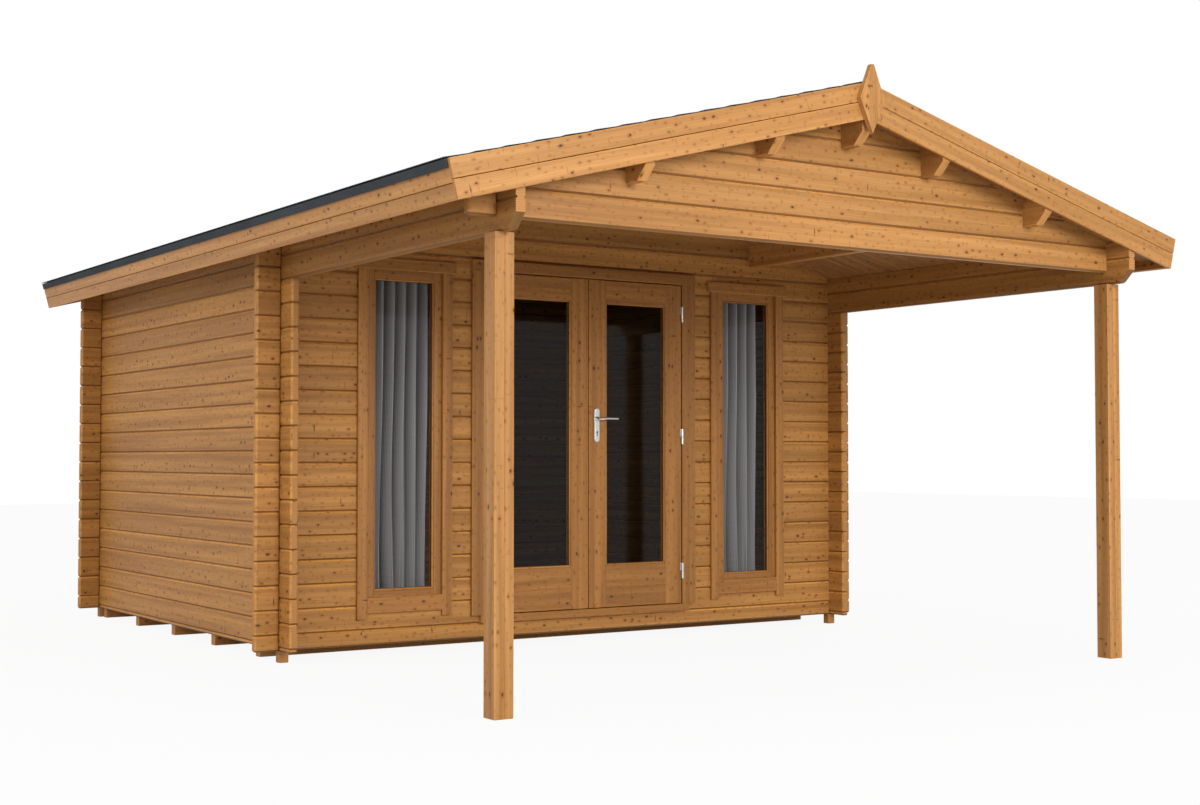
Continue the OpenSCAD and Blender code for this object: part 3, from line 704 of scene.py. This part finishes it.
# %% Ridge capping
CAP_SHOW, CAP_LAP, CAP_PAST = 0.200, 0.012, 0.010
CAP_LIFT, CAP_LEAN = 0.0045, -0.008
caps = new_piece()
cap_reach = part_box("ridge_capping")[1][X] / math.cos(SLOPE) - 0.002
for i in range(math.ceil((TAIL_Y - NOSE_Y) / CAP_SHOW)):
    y0 = NOSE_Y + i * CAP_SHOW
    y1 = min(y0 + CAP_SHOW + CAP_LAP, TAIL_Y)
    lean = Matrix.Rotation(CAP_LEAN, 4, "X")
    lift = Matrix.Translation((0, y0, CAP_LIFT)) @ lean @ Matrix.Translation((0, -y0, 0))
    for side in (-1, 1):
        s0, s1 = sorted((-side * CAP_PAST, side * cap_reach))
        board(caps, (s0, y0, 0), (s1, y1, FELT_T), Y, f"cap {i}", FELT_EASE, cuts=[PLUMB_CUT[side]],
              turn=slope_turn(side) @ lift)
finish_piece(caps, "ridge_cap_felt", (felt, felt), replaces=["ridge_capping"])

# %% [markdown]
# ## Bargeboards, fascia and finial
# Two boards, one over the other, hide each edge of the roof. At the ridge they are cut plumb, and a diamond
# finial of two halves covers the joint.

# %% Bargeboards and fascia
BARGE_T, BARGE_W, BARGE_GAP, BARGE_EASE = 0.018, 0.081, 0.003, 0.0028
BARGE_PAST = 0.020                # boards start this far past the ridge and are cut plumb
FASCIA_SPLIT = 0.096              # where the fascia's two boards meet, down from the roof's top
for name in ("front_bargeboards", "back_bargeboards"):
    low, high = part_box(name)
    boards = new_piece()
    for side in (-1, 1):
        for i in range(2):
            n0 = i * (BARGE_W + BARGE_GAP)
            s0, s1 = sorted((-side * BARGE_PAST, side * (SLOPE_LEN + BARGE_T)))
            board(boards, (s0, low[Y], -n0 - BARGE_W), (s1, high[Y], -n0), X, f"{name} {side} {i}",
                  BARGE_EASE, cuts=[PLUMB_CUT[side]], turn=slope_turn(side))
    finish_piece(boards, name + "_pair", WOODS["trim"], replaces=[name])

boards = new_piece()
fascia = ((COVER_T, FASCIA_SPLIT), (FASCIA_SPLIT + BARGE_GAP, 2 * BARGE_W + BARGE_GAP))
for side in (-1, 1):
    s0, s1 = sorted((side * SLOPE_LEN, side * (SLOPE_LEN + BARGE_T)))
    for i, (n0, n1) in enumerate(fascia):
        board(boards, (s0, NOSE_Y, -n1), (s1, TAIL_Y, -n0), Y, f"fascia {side} {i}", BARGE_EASE,
              turn=slope_turn(side))
finish_piece(boards, "eaves_fascia_boards", WOODS["trim"], replaces=["eaves_fascia"])

# %% [markdown]
# Each half of the finial is an outline pushed out to its thickness, with rounded edges.

# %% Finial
FINIAL_TIP, FINIAL_EASE = 0.008, 0.0035    # half width of the blunt upper tip, and the rounding
low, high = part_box("front_finial")
finial = new_piece()
for side in (-1, 1):
    half = new_piece()
    middle = (low[Z] + high[Z]) / 2
    outline = [(0, low[Z]), (side * high[X], middle), (side * FINIAL_TIP, high[Z]), (0, high[Z])]
    face = half.faces.new([half.verts.new((x, high[Y], z)) for x, z in outline])
    grown = bmesh.ops.extrude_face_region(half, geom=[face])
    bmesh.ops.translate(half, vec=(0, low[Y] - high[Y], 0),
                        verts=[v for v in grown["geom"] if isinstance(v, bmesh.types.BMVert)])
    bmesh.ops.recalc_face_normals(half, faces=half.faces[:])
    bevel(half, half.edges[:], FINIAL_EASE, 2)
    map_grain(half, Z, f"finial {side}", low)
    pour(finial, half)
finish_piece(finial, "diamond_finial", WOODS["trim"], replaces=["front_finial"])

# %% [markdown]
# ## Floor and bearers
# The shed stands on bearers with gaps for air between them. The floor inside is tongue-and-groove boards.

# %% Floor and bearers
FLOOR_EASE = 0.0015
low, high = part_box("floor_boards")
floor_piece = new_piece()
count = round((high[Y] - low[Y]) / BOARD_W)
width = (high[Y] - low[Y]) / count
for i in range(count):
    board(floor_piece, (low[X], low[Y] + i * width, low[Z]), (high[X], low[Y] + (i + 1) * width, high[Z]), X,
          f"floor {i}", FLOOR_EASE)
finish_piece(floor_piece, "floor_planks", WOODS["board"], replaces=["floor_boards"])

low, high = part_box("ground_bearers")
BEARER = high[Z] - low[Z]
BEARER_FIRST, BEARER_LAST, BEARERS = 0.300, 0.074, 5
BEARER_INSET, PAD = 0.020, 0.050
bearers = new_piece()
house_back = back_high[Y]
step = (house_back - FRONT_LOW[Y] - BEARER_FIRST - BEARER_LAST - BEARER) / (BEARERS - 1)
for i in range(BEARERS):
    y = FRONT_LOW[Y] + BEARER_FIRST + i * step
    reach = wall_out - BEARER_INSET
    board(bearers, (-reach, y, low[Z]), (reach, y + BEARER, high[Z]), X, f"bearer {i}")
for side in (-1, 1):
    x0, x1 = sorted((side * (wall_out - PAD), side * wall_out))
    for y in (FRONT_LOW[Y], house_back - log_t):
        board(bearers, (x0, y, low[Z]), (x1, y + log_t, high[Z]), Y, f"pad {side} {y:.1f}")
finish_piece(bearers, "bearer_timbers", WOODS["log"], replaces=["ground_bearers"])

# %% [markdown]
# ## Doors
# Each leaf is a frame of two stiles with rails between them, round one tall pane. The joints show as fine
# lines, and the bottom rail is two boards. A bead holds the glass on each face.

# %% Door leaves
BEAD, BEAD_BACK = 0.011, 0.004    # a bead's width, and how far it lies back from the timber's face
STILE, RAIL_TOP, RAIL_BOTTOM, LEAF_EASE = 0.115, 0.124, 0.236, 0.0022


def beads(piece, tag, sides, heights, timber, pane):
    """Four beads round each face of a pane; timber and pane are their near and far y."""
    (x0, x1), (z0, z1) = sides, heights
    for face, (y0, y1) in enumerate(((timber[0] + BEAD_BACK, pane[0]), (pane[1], timber[1] - BEAD_BACK))):
        board(piece, (x0, y0, z0), (x0 + BEAD, y1, z1), Z, f"{tag} bead {face} 0")
        board(piece, (x1 - BEAD, y0, z0), (x1, y1, z1), Z, f"{tag} bead {face} 1")
        board(piece, (x0, y0, z0), (x1, y1, z0 + BEAD), X, f"{tag} bead {face} 2")
        board(piece, (x0, y0, z1 - BEAD), (x1, y1, z1), X, f"{tag} bead {face} 3")


pane_low, pane_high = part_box("right_door_glass")
for name in ("left", "right"):
    low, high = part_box(name + "_door_leaf")
    leaf = new_piece()
    inner0, inner1 = low[X] + STILE, high[X] - STILE
    board(leaf, low, (inner0, high[Y], high[Z]), Z, name + " stile a", LEAF_EASE)
    board(leaf, (inner1, low[Y], low[Z]), high, Z, name + " stile b", LEAF_EASE)
    rail_mid, rail_top = low[Z] + RAIL_BOTTOM / 2, low[Z] + RAIL_BOTTOM
    head = high[Z] - RAIL_TOP
    for i, (z0, z1) in enumerate(((low[Z], rail_mid), (rail_mid, rail_top), (head, high[Z]))):
        board(leaf, (inner0, low[Y], z0), (inner1, high[Y], z1), X, f"{name} rail {i}", LEAF_EASE)
    beads(leaf, name, (inner0, inner1), (rail_top, head), (low[Y], high[Y]), (pane_low[Y], pane_high[Y]))
    finish_piece(leaf, name + "_door_joinery", WOODS["joinery"], name + "_door",
                 [name + "_door_leaf"])

# %% [markdown]
# ## Door frame and casing
# The frame lines the doorway; its sill has a nosing that throws rain clear of the starter log. Flat casing
# boards cover the joint between the frame and the logs.

# %% Door frame and casing
JAMB, STOP, STOP_T = 0.044, 0.018, 0.020
FRAME_EASE, SILL_EASE = 0.002, 0.004
RUNNING_GAP = 0.005               # air between a closed leaf and its frame
low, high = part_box("door_frame")
leaf_low, leaf_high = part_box("right_door_leaf")
face_y = FRONT_LOW[Y]
opening = high[X] - JAMB
sill_top = leaf_low[Z] - RUNNING_GAP
head_z = leaf_high[Z] + RUNNING_GAP
stop_y = leaf_high[Y] + RUNNING_GAP
stop_back = stop_y + STOP_T
parts = new_piece()
for side in (-1, 1):
    x0, x1 = sorted((side * opening, side * high[X]))
    board(parts, (x0, face_y, sill_top), (x1, high[Y], high[Z]), Z, f"jamb {side}", FRAME_EASE)
    x0, x1 = sorted((side * (opening - STOP), side * opening))
    board(parts, (x0, stop_y, sill_top), (x1, stop_back, head_z), Z, f"stop {side}", FRAME_EASE)
board(parts, (-opening, face_y, head_z), (opening, high[Y], high[Z]), X, "door head", FRAME_EASE)
board(parts, (-opening, stop_y, head_z - STOP), (opening, stop_back, head_z), X, "head stop", FRAME_EASE)
board(parts, low, (high[X], high[Y], sill_top), X, "door sill", SILL_EASE)
finish_piece(parts, "door_lining", WOODS["joinery"], replaces=["door_frame"])

CASING_W, CASING_HEAD = 0.096, 0.062
low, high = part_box("door_casing")
head_board = high[Z] - CASING_HEAD
parts = new_piece()
for side in (-1, 1):
    x0, x1 = sorted((side * (high[X] - CASING_W), side * high[X]))
    board(parts, (x0, low[Y], low[Z]), (x1, high[Y], head_board), Z, f"casing {side}")
board(parts, (low[X], low[Y], head_board), high, X, "casing head")
finish_piece(parts, "door_casing_boards", WOODS["joinery"], replaces=["door_casing"])

# %% [markdown]
# ## Windows
# A tall narrow window stands on each side of the doors: a fixed frame with a deep bottom rail, and casing
# boards whose legs hang below the bottom board.

# %% Windows
SASH_SIDE, SASH_BOTTOM, SASH_TOP, SASH_EASE = 0.052, 0.100, 0.064, 0.0025
CASE_SIDE, CASE_HEAD, CASE_BOTTOM = 0.058, 0.062, 0.083
CASE_LEG, CASE_STEP = 0.028, 0.020    # how far the legs hang below, and the head board runs past them
LEG_T, APRON_T = 0.020, 0.018
glass_low, glass_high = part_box("window_panes")
case_low, case_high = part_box("window_casings")
hole_half = sash_high[X] - WINDOW_X
case_half = case_high[X] - WINDOW_X
leg_out = case_half - CASE_STEP
leg_in = leg_out - CASE_SIDE
head0 = case_high[Z] - CASE_HEAD
bottom0 = case_low[Z] + CASE_LEG
y0, y1, z0, z1 = sash_low[Y], sash_high[Y], sash_low[Z], sash_high[Z]
pane0, pane1 = z0 + SASH_BOTTOM, z1 - SASH_TOP
sashes, casings = new_piece(), new_piece()
for side in (-1, 1):
    mid = side * WINDOW_X
    tag = f"window {side}"
    a, b = mid - hole_half, mid + hole_half
    inner0, inner1 = a + SASH_SIDE, b - SASH_SIDE
    board(sashes, (a, y0, z0), (inner0, y1, z1), Z, tag + " a", SASH_EASE)
    board(sashes, (inner1, y0, z0), (b, y1, z1), Z, tag + " b", SASH_EASE)
    board(sashes, (inner0, y0, z0), (inner1, y1, pane0), X, tag + " c", SASH_EASE)
    board(sashes, (inner0, y0, pane1), (inner1, y1, z1), X, tag + " d", SASH_EASE)
    beads(sashes, tag, (inner0, inner1), (pane0, pane1), (y0, y1), (glass_low[Y], glass_high[Y]))
    for way in (-1, 1):
        x0, x1 = sorted((mid + way * leg_in, mid + way * leg_out))
        board(casings, (x0, face_y - LEG_T, case_low[Z]), (x1, face_y, head0), Z, f"{tag} leg {way}")
    board(casings, (mid - leg_in, face_y - APRON_T, bottom0), (mid + leg_in, face_y, bottom0 + CASE_BOTTOM),
          X, tag + " apron")
    board(casings, (mid - case_half, case_low[Y], head0), (mid + case_half, face_y, case_high[Z]), X,
          tag + " head")
finish_piece(sashes, "window_frames", WOODS["joinery"], replaces=["window_sashes"])
finish_piece(casings, "window_casing_boards", WOODS["joinery"], replaces=["window_casings"])

# %% [markdown]
# ## Glass and curtain poles
# The CAD shapes of these are already right, so they stay and only get their finish.

# %% Finishes for the carried-over nodes
for node, finish in (("left_door_glass", glass), ("right_door_glass", glass), ("window_panes", glass),
                     ("curtain_rails", steel)):
    for material_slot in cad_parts[node].material_slots:
        material_slot.material = finish
print("carried-over nodes have their finish")

# %% [markdown]
# ## Hinges
# Closed, a butt hinge shows little more than its knuckle: a barrel in two halves, with a sliver of each flap.
# The lower half belongs to the frame and the upper half to the leaf.

# %% Hinges
KNUCKLE_R, KNUCKLE_L, KNUCKLE_EASE = 0.0068, 0.0455, 0.001
FLAP_W, FLAP_T, FLAP_EASE = 0.012, 0.0025, 0.0006
FLAP_BACK = 0.015                 # back of a leaf's flap, from the front of the hinge's box
FRAME_FLAP_OUT = 0.002            # the frame's flap lies this much further out
HINGE_X, HINGE_Y = 0.6575, FRONT_LOW[Y] - 0.028
HINGE_RISES = (0.0, 0.791, 1.514)     # the three hinges of a leaf, from the lowest one up
for node, body in (("frame_hinges", "shed"), ("left_door_hinges", "left_door"),
                   ("right_door_hinges", "right_door")):
    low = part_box(node)[0]
    fixed = body == "shed"
    back = low[Y] + FLAP_BACK - (FRAME_FLAP_OUT if fixed else 0)
    barrels = new_piece()
    for side in ((-1, 1) if fixed else (SIDES[body.split("_")[0]],)):
        axis_x = side * HINGE_X
        x0, x1 = sorted((axis_x, axis_x + (side if fixed else -side) * FLAP_W))
        for rise in HINGE_RISES:
            foot = low[Z] + rise
            middle = foot + KNUCKLE_L / 2
            knuckle = new_piece()
            bmesh.ops.create_cone(knuckle, cap_ends=True, segments=24, radius1=KNUCKLE_R, radius2=KNUCKLE_R,
                                  depth=KNUCKLE_L, matrix=Matrix.Translation((axis_x, HINGE_Y, middle)))
            rims = [e for e in knuckle.edges if abs(e.verts[0].co.z - e.verts[1].co.z) < 1e-6]
            bevel(knuckle, rims, KNUCKLE_EASE, 2)
            pour(barrels, knuckle)
            board(barrels, (x0, back - FLAP_T, foot), (x1, back, foot + KNUCKLE_L), Z,
                  f"flap {middle:.2f}", FLAP_EASE)
    finish_piece(barrels, node + "_barrels", (steel, steel), body, [node])

# %% [markdown]
# ## Lever handles
# A pressed steel plate with round ends carries the lever on each face of the right leaf. The plate starts
# as a circle whose halves are drawn apart; the lever is a circle spun round a bend and then drawn out.

# %% Lock plates
low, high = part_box("lock_plates")
plate_mid_x, plate_mid_z = (low[X] + high[X]) / 2, (low[Z] + high[Z]) / 2
plate_r = (high[X] - low[X]) / 2
PLATE_T, PLATE_EASE = 0.0078, 0.0025
KEYHOLE_DROP = 0.040              # keyhole's middle below the plate's
KEYHOLE_T, KEYHOLE_EASE, KEYHOLE_SUNK = 0.0013, 0.0002, 0.001
KEYHOLE_SHAPES = ((0.0052, 0.0004, 0.0), (0.0026, 0.010, 0.010))   # radius, half straight part, drop
door_faces = ((leaf_low[Y], -1), (leaf_high[Y], 1))


def stadium(bm, middle, radius, reach, thick, facing, ease):
    """A plate with round ends: a circle, its upper and lower halves drawn apart, then thickened."""
    to_door = Matrix.Translation(middle) @ Matrix.Rotation(facing * math.pi / 2, 4, "X")
    disc = bmesh.ops.create_circle(bm, cap_ends=True, segments=40, radius=radius)
    for vert in disc["verts"]:
        vert.co.y += math.copysign(reach, vert.co.y)
    grown = bmesh.ops.extrude_face_region(bm, geom=bm.faces[:])
    lifted = [g for g in grown["geom"] if isinstance(g, bmesh.types.BMVert)]
    bmesh.ops.translate(bm, vec=(0, 0, thick), verts=lifted)
    bmesh.ops.recalc_face_normals(bm, faces=bm.faces[:])
    rim = [e for e in bm.edges if all(v.co.z > thick / 2 for v in e.verts)]
    bevel(bm, rim, ease, 3)
    bmesh.ops.transform(bm, matrix=to_door, verts=bm.verts)


plates, holes = new_piece(), new_piece()
plate_reach = (high[Z] - low[Z]) / 2 - plate_r
for y, facing in door_faces:
    part = new_piece()
    stadium(part, (plate_mid_x, y, plate_mid_z), plate_r, plate_reach, PLATE_T, -facing, PLATE_EASE)
    pour(plates, part)
    hole_y = y + facing * (PLATE_T - KEYHOLE_SUNK)
    # each keyhole is a thin black shape, painted shade where a hole would be
    for radius, reach, drop in KEYHOLE_SHAPES:
        part = new_piece()
        stadium(part, (plate_mid_x, hole_y, plate_mid_z - KEYHOLE_DROP - drop), radius, reach, KEYHOLE_T,
                -facing, KEYHOLE_EASE)
        pour(holes, part)
finish_piece(plates, "lock_plate_pair", (steel,), "right_door", ["lock_plates"])
finish_piece(holes, "keyholes", (keyhole_painted_shade,), "right_door")

# %% [markdown]
# The neck, the bend and the bar of a lever are one tube: a ring is pushed out from the door, spun round the
# bend, and then drawn out in steps that narrow it towards its tip.

# %% Levers
LEVER_AXIS_X = leaf_low[X] + 0.050
LEVER_AXIS_Z = leaf_low[Z] + 1.077
REACH = 0.034                     # bend of the lever out from the plate
BAR_R, BEND_R, BEND_STEPS = 0.0072, 0.016, 8
ROSE_T, ROSE_FOOT_R, ROSE_TOP_R = 0.007, 0.0145, 0.0125
PLATE_GAP = 0.0007                # the lever turns just clear of the plate
# the bar drawn out in steps: how far along, how far up, and how much narrower
BAR_STEPS = ((0.030, 0.004, 0.98), (0.035, 0.0, 0.94), (0.040, -0.001, 0.9), (0.004, 0.0, 0.7),
             (0.0015, 0.0, 0.4))


def of_type(geometry, kind):
    """The vertices or the edges of what an operator returned."""
    return [g for g in geometry if isinstance(g, kind)]


levers = new_piece()
for y, facing in door_faces:
    out = y + facing * (PLATE_T + PLATE_GAP)
    rose_place = Matrix.Translation((LEVER_AXIS_X, out + facing * ROSE_T / 2, LEVER_AXIS_Z))
    ring_place = Matrix.Translation((LEVER_AXIS_X, out, LEVER_AXIS_Z))
    part = new_piece()
    bmesh.ops.create_cone(part, cap_ends=True, segments=32, radius1=ROSE_FOOT_R, radius2=ROSE_TOP_R,
                          depth=ROSE_T, matrix=rose_place @ Matrix.Rotation(-facing * math.pi / 2, 4, "X"))
    ring = bmesh.ops.create_circle(part, cap_ends=False, segments=24, radius=BAR_R,
                                   matrix=ring_place @ Matrix.Rotation(math.pi / 2, 4, "X"))
    edges = [e for e in part.edges if all(v in ring["verts"] for v in e.verts)]
    neck = bmesh.ops.extrude_edge_only(part, edges=edges)["geom"]
    verts, edges = of_type(neck, bmesh.types.BMVert), of_type(neck, bmesh.types.BMEdge)
    bmesh.ops.translate(part, vec=(0, facing * (REACH - BEND_R), 0), verts=verts)
    centre = (LEVER_AXIS_X + BEND_R, out + facing * (REACH - BEND_R), LEVER_AXIS_Z)
    last = bmesh.ops.spin(part, geom=verts + edges, angle=-facing * math.pi / 2, steps=BEND_STEPS,
                          axis=(0, 0, 1), cent=centre)["geom_last"]
    for run, rise, shrink in BAR_STEPS:
        last = bmesh.ops.extrude_edge_only(part, edges=of_type(last, bmesh.types.BMEdge))["geom"]
        verts = of_type(last, bmesh.types.BMVert)
        bmesh.ops.translate(part, vec=(run, 0, rise), verts=verts)
        centre = sum((v.co for v in verts), Vector()) / len(verts)
        bmesh.ops.scale(part, vec=(1, shrink, shrink), verts=verts, space=Matrix.Translation(-centre))
    bmesh.ops.contextual_create(part, geom=of_type(last, bmesh.types.BMEdge))
    bmesh.ops.recalc_face_normals(part, faces=part.faces[:])
    pour(levers, part)
finish_piece(levers, "lever_handles", (steel,), "lever", ["door_levers"], smooth=True)

# %% [markdown]
# ## Curtains
# A curtain hangs gathered behind one side of each window, in soft folds that are tight at the pole and looser
# at the hem. A cloth simulation could drop it, but folds held by a heading tape are regular enough to be
# drawn by a formula: a grid whose rows swing forwards and back. The folds wander a little on the way down.

# %% Curtains
FOLD_STEPS, DROP_STEPS = 16, 48   # grid steps in one fold, and down the cloth
CLOTH_T = 0.0012
FOLD_CLEAR, SIDE_CLEAR = 0.004, 0.012    # the folds stay this far inside the gathered cloth's outer size
TAPE_DEPTH = 0.62                 # the heading tape holds the folds to this share of their full depth
LEAN = 0.010                      # how far a fold tips over sideways at the hem


def curtain(name, node, folds, seed):
    """A gathered sheet between the node's sides; prints its cut size."""
    low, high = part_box(node)
    wide, drop = high[X] - low[X], high[Z] - low[Z]
    chance = random.Random(seed)
    swing = [(chance.uniform(0.7, 1.0), chance.uniform(0, 6.28)) for _ in range(folds + 1)]
    bm = new_piece()
    bmesh.ops.create_grid(bm, x_segments=folds * FOLD_STEPS, y_segments=DROP_STEPS, size=0.5)
    uv = bm.loops.layers.uv[GRAIN]
    deep = (high[Y] - low[Y]) / 2 - FOLD_CLEAR
    middle = (high[Y] + low[Y]) / 2
    for vert in bm.verts:
        t, fall = vert.co.x + 0.5, 0.5 - vert.co.y
        fold = min(int(t * folds), folds)
        share = t * folds - int(t * folds)
        strength = swing[fold][0] * (1 - share) + swing[min(fold + 1, folds)][0] * share
        # a fold wanders sideways in one slow wave, with a small quick one over it
        wander = 0.35 * math.sin(2.1 * fall + swing[fold][1] * 0.15) + 0.12 * math.sin(7 * fall + 9 * t)
        phase = 2 * math.pi * (folds * t + wander * fall)
        amount = deep * strength * (TAPE_DEPTH + (1 - TAPE_DEPTH) * min(fall * 3, 1))
        lean = LEAN * math.sin(2 * phase) * fall
        x = low[X] + SIDE_CLEAR + (wide - 2 * SIDE_CLEAR) * t + lean
        x = min(max(x, low[X]), high[X])
        vert.co = Vector((x, middle + amount * math.sin(phase), high[Z] - drop * fall))
    tones = bm.faces.layers.float[TONE]
    for face in bm.faces:
        face.smooth = True
        # the tone is the fold's depth, which the cloth turns into painted shade in valleys and painted
        # highlight on ridges
        face[tones] = (middle - face.calc_center_median().y) / deep
    bm.normal_update()
    area = sum(face.calc_area() for face in bm.faces)
    cut_width = area / drop
    for face in bm.faces:
        for loop in face.loops:
            p = loop.vert.co
            loop[uv].uv = ((p.x - low[X]) / wide * cut_width, p.z)
    obj = finish_piece(bm, name, (cloth,), replaces=[node])
    thick = obj.modifiers.new("thickness", "SOLIDIFY")
    thick.thickness, thick.offset = CLOTH_T, 0.0
    print(f"{name}: cut {cut_width:.3f} by {drop:.3f} m")


curtain("left_curtain_cloth", "left_curtain", 6, "left folds")
curtain("right_curtain_cloth", "right_curtain", 5, "right folds")

# %% [markdown]
# ## Studio
# A pale floor, a white surround and two large soft lamps light the shed evenly. The floor shows white to
# the camera, yet keeps the shadow.

# %% Floor
def white_to_view(tree, plain, bright, share):
    """Mixes in plain white for what the camera, mirrors and glass see."""
    path = add(tree, "LightPath")
    seen = add(tree, "Math", {0: path.outputs["Is Camera Ray"], 1: path.outputs["Is Glossy Ray"]},
               operation="MAXIMUM")
    either = add(tree, "Math", {0: seen.outputs[0], 1: path.outputs["Is Transmission Ray"]},
                 operation="MAXIMUM")
    amount = add(tree, "Math", {0: either.outputs[0], 1: share}, operation="MULTIPLY")
    return add(tree, "MixShader", {0: amount.outputs[0], 1: plain, 2: bright})


FLOOR_HALF, FLOOR_DROP = 30, 0.001    # it lies just under the bearers, so that they share no plane
floor_bm = bmesh.new()
bmesh.ops.create_grid(floor_bm, x_segments=1, y_segments=1, size=FLOOR_HALF)
bmesh.ops.translate(floor_bm, vec=(0, 0, -FLOOR_DROP), verts=floor_bm.verts)
floor_mesh = bpy.data.meshes.new("studio_floor")
floor_bm.to_mesh(floor_mesh)
floor_bm.free()
floor = bpy.data.objects.new("studio_floor", floor_mesh)
bpy.context.collection.objects.link(floor)
paper = bpy.data.materials.new("pale studio floor")
paper.use_nodes = True
paper.node_tree.nodes.clear()
matt = add(paper.node_tree, "BsdfDiffuse", {"Color": (0.6, 0.6, 0.6, 1)})
glow = add(paper.node_tree, "Emission", {"Color": (1, 1, 1, 1), "Strength": 1.0})
mixed = white_to_view(paper.node_tree, matt.outputs[0], glow.outputs[0], 0.92)
add(paper.node_tree, "OutputMaterial", {"Surface": mixed.outputs[0]})
floor_mesh.materials.append(paper)
print("floor", 2 * FLOOR_HALF, "m wide")

# %% [markdown]
# The surround is brighter overhead than at the horizon, as it is outdoors under a pale sky.

# %% Surround
AMBIENT_LOW, AMBIENT_HIGH = 0.45, 1.05
world = bpy.data.worlds.new("studio")
bpy.context.scene.world = world
world.use_nodes = True
sky = world.node_tree
sky.nodes.clear()
direction = add(sky, "SeparateXYZ", {0: add(sky, "TexCoord").outputs["Generated"]})
level = add(sky, "MapRange", {"Value": direction.outputs[2], "From Min": -0.1, "From Max": 0.9,
                              "To Min": AMBIENT_LOW, "To Max": AMBIENT_HIGH})
ambient = add(sky, "Background", {"Color": (1, 0.99, 0.97, 1), "Strength": level.outputs[0]})
surround = add(sky, "Background", {"Color": (1, 1, 1, 1), "Strength": 1.0})
mixed = white_to_view(sky, ambient.outputs[0], surround.outputs[0], 1.0)
add(sky, "OutputWorld", {"Surface": mixed.outputs[0]})
print("surround", AMBIENT_LOW, "to", AMBIENT_HIGH)

# %% [markdown]
# The key lamp stands well in front of the porch, and a weaker lamp on the left lights the side wall.

# %% Lamps
def lamp(name, place, aim, size, watts):
    """A round soft lamp that points at a place."""
    data = bpy.data.lights.new(name, "AREA")
    data.shape, data.size, data.energy = "DISK", size, watts
    obj = bpy.data.objects.new(name, data)
    obj.location = place
    obj.rotation_euler = (Vector(aim) - Vector(place)).to_track_quat("-Z", "Y").to_euler()
    bpy.context.collection.objects.link(obj)


lamp("key lamp", (-0.5, -13.0, 4.0), (0, -1.0, 1.2), 5.0, 830)
lamp("side lamp", (-12.0, -3.0, 5.0), (-1, 0.5, 1.2), 5.0, 330)
bpy.context.scene.view_settings.view_transform = "Standard"
print("studio is lit")

# %% [markdown]
# ## Finish
# The last cell prints how many pieces were made.

# %% Finish
print(len(made_pieces), "pieces made")
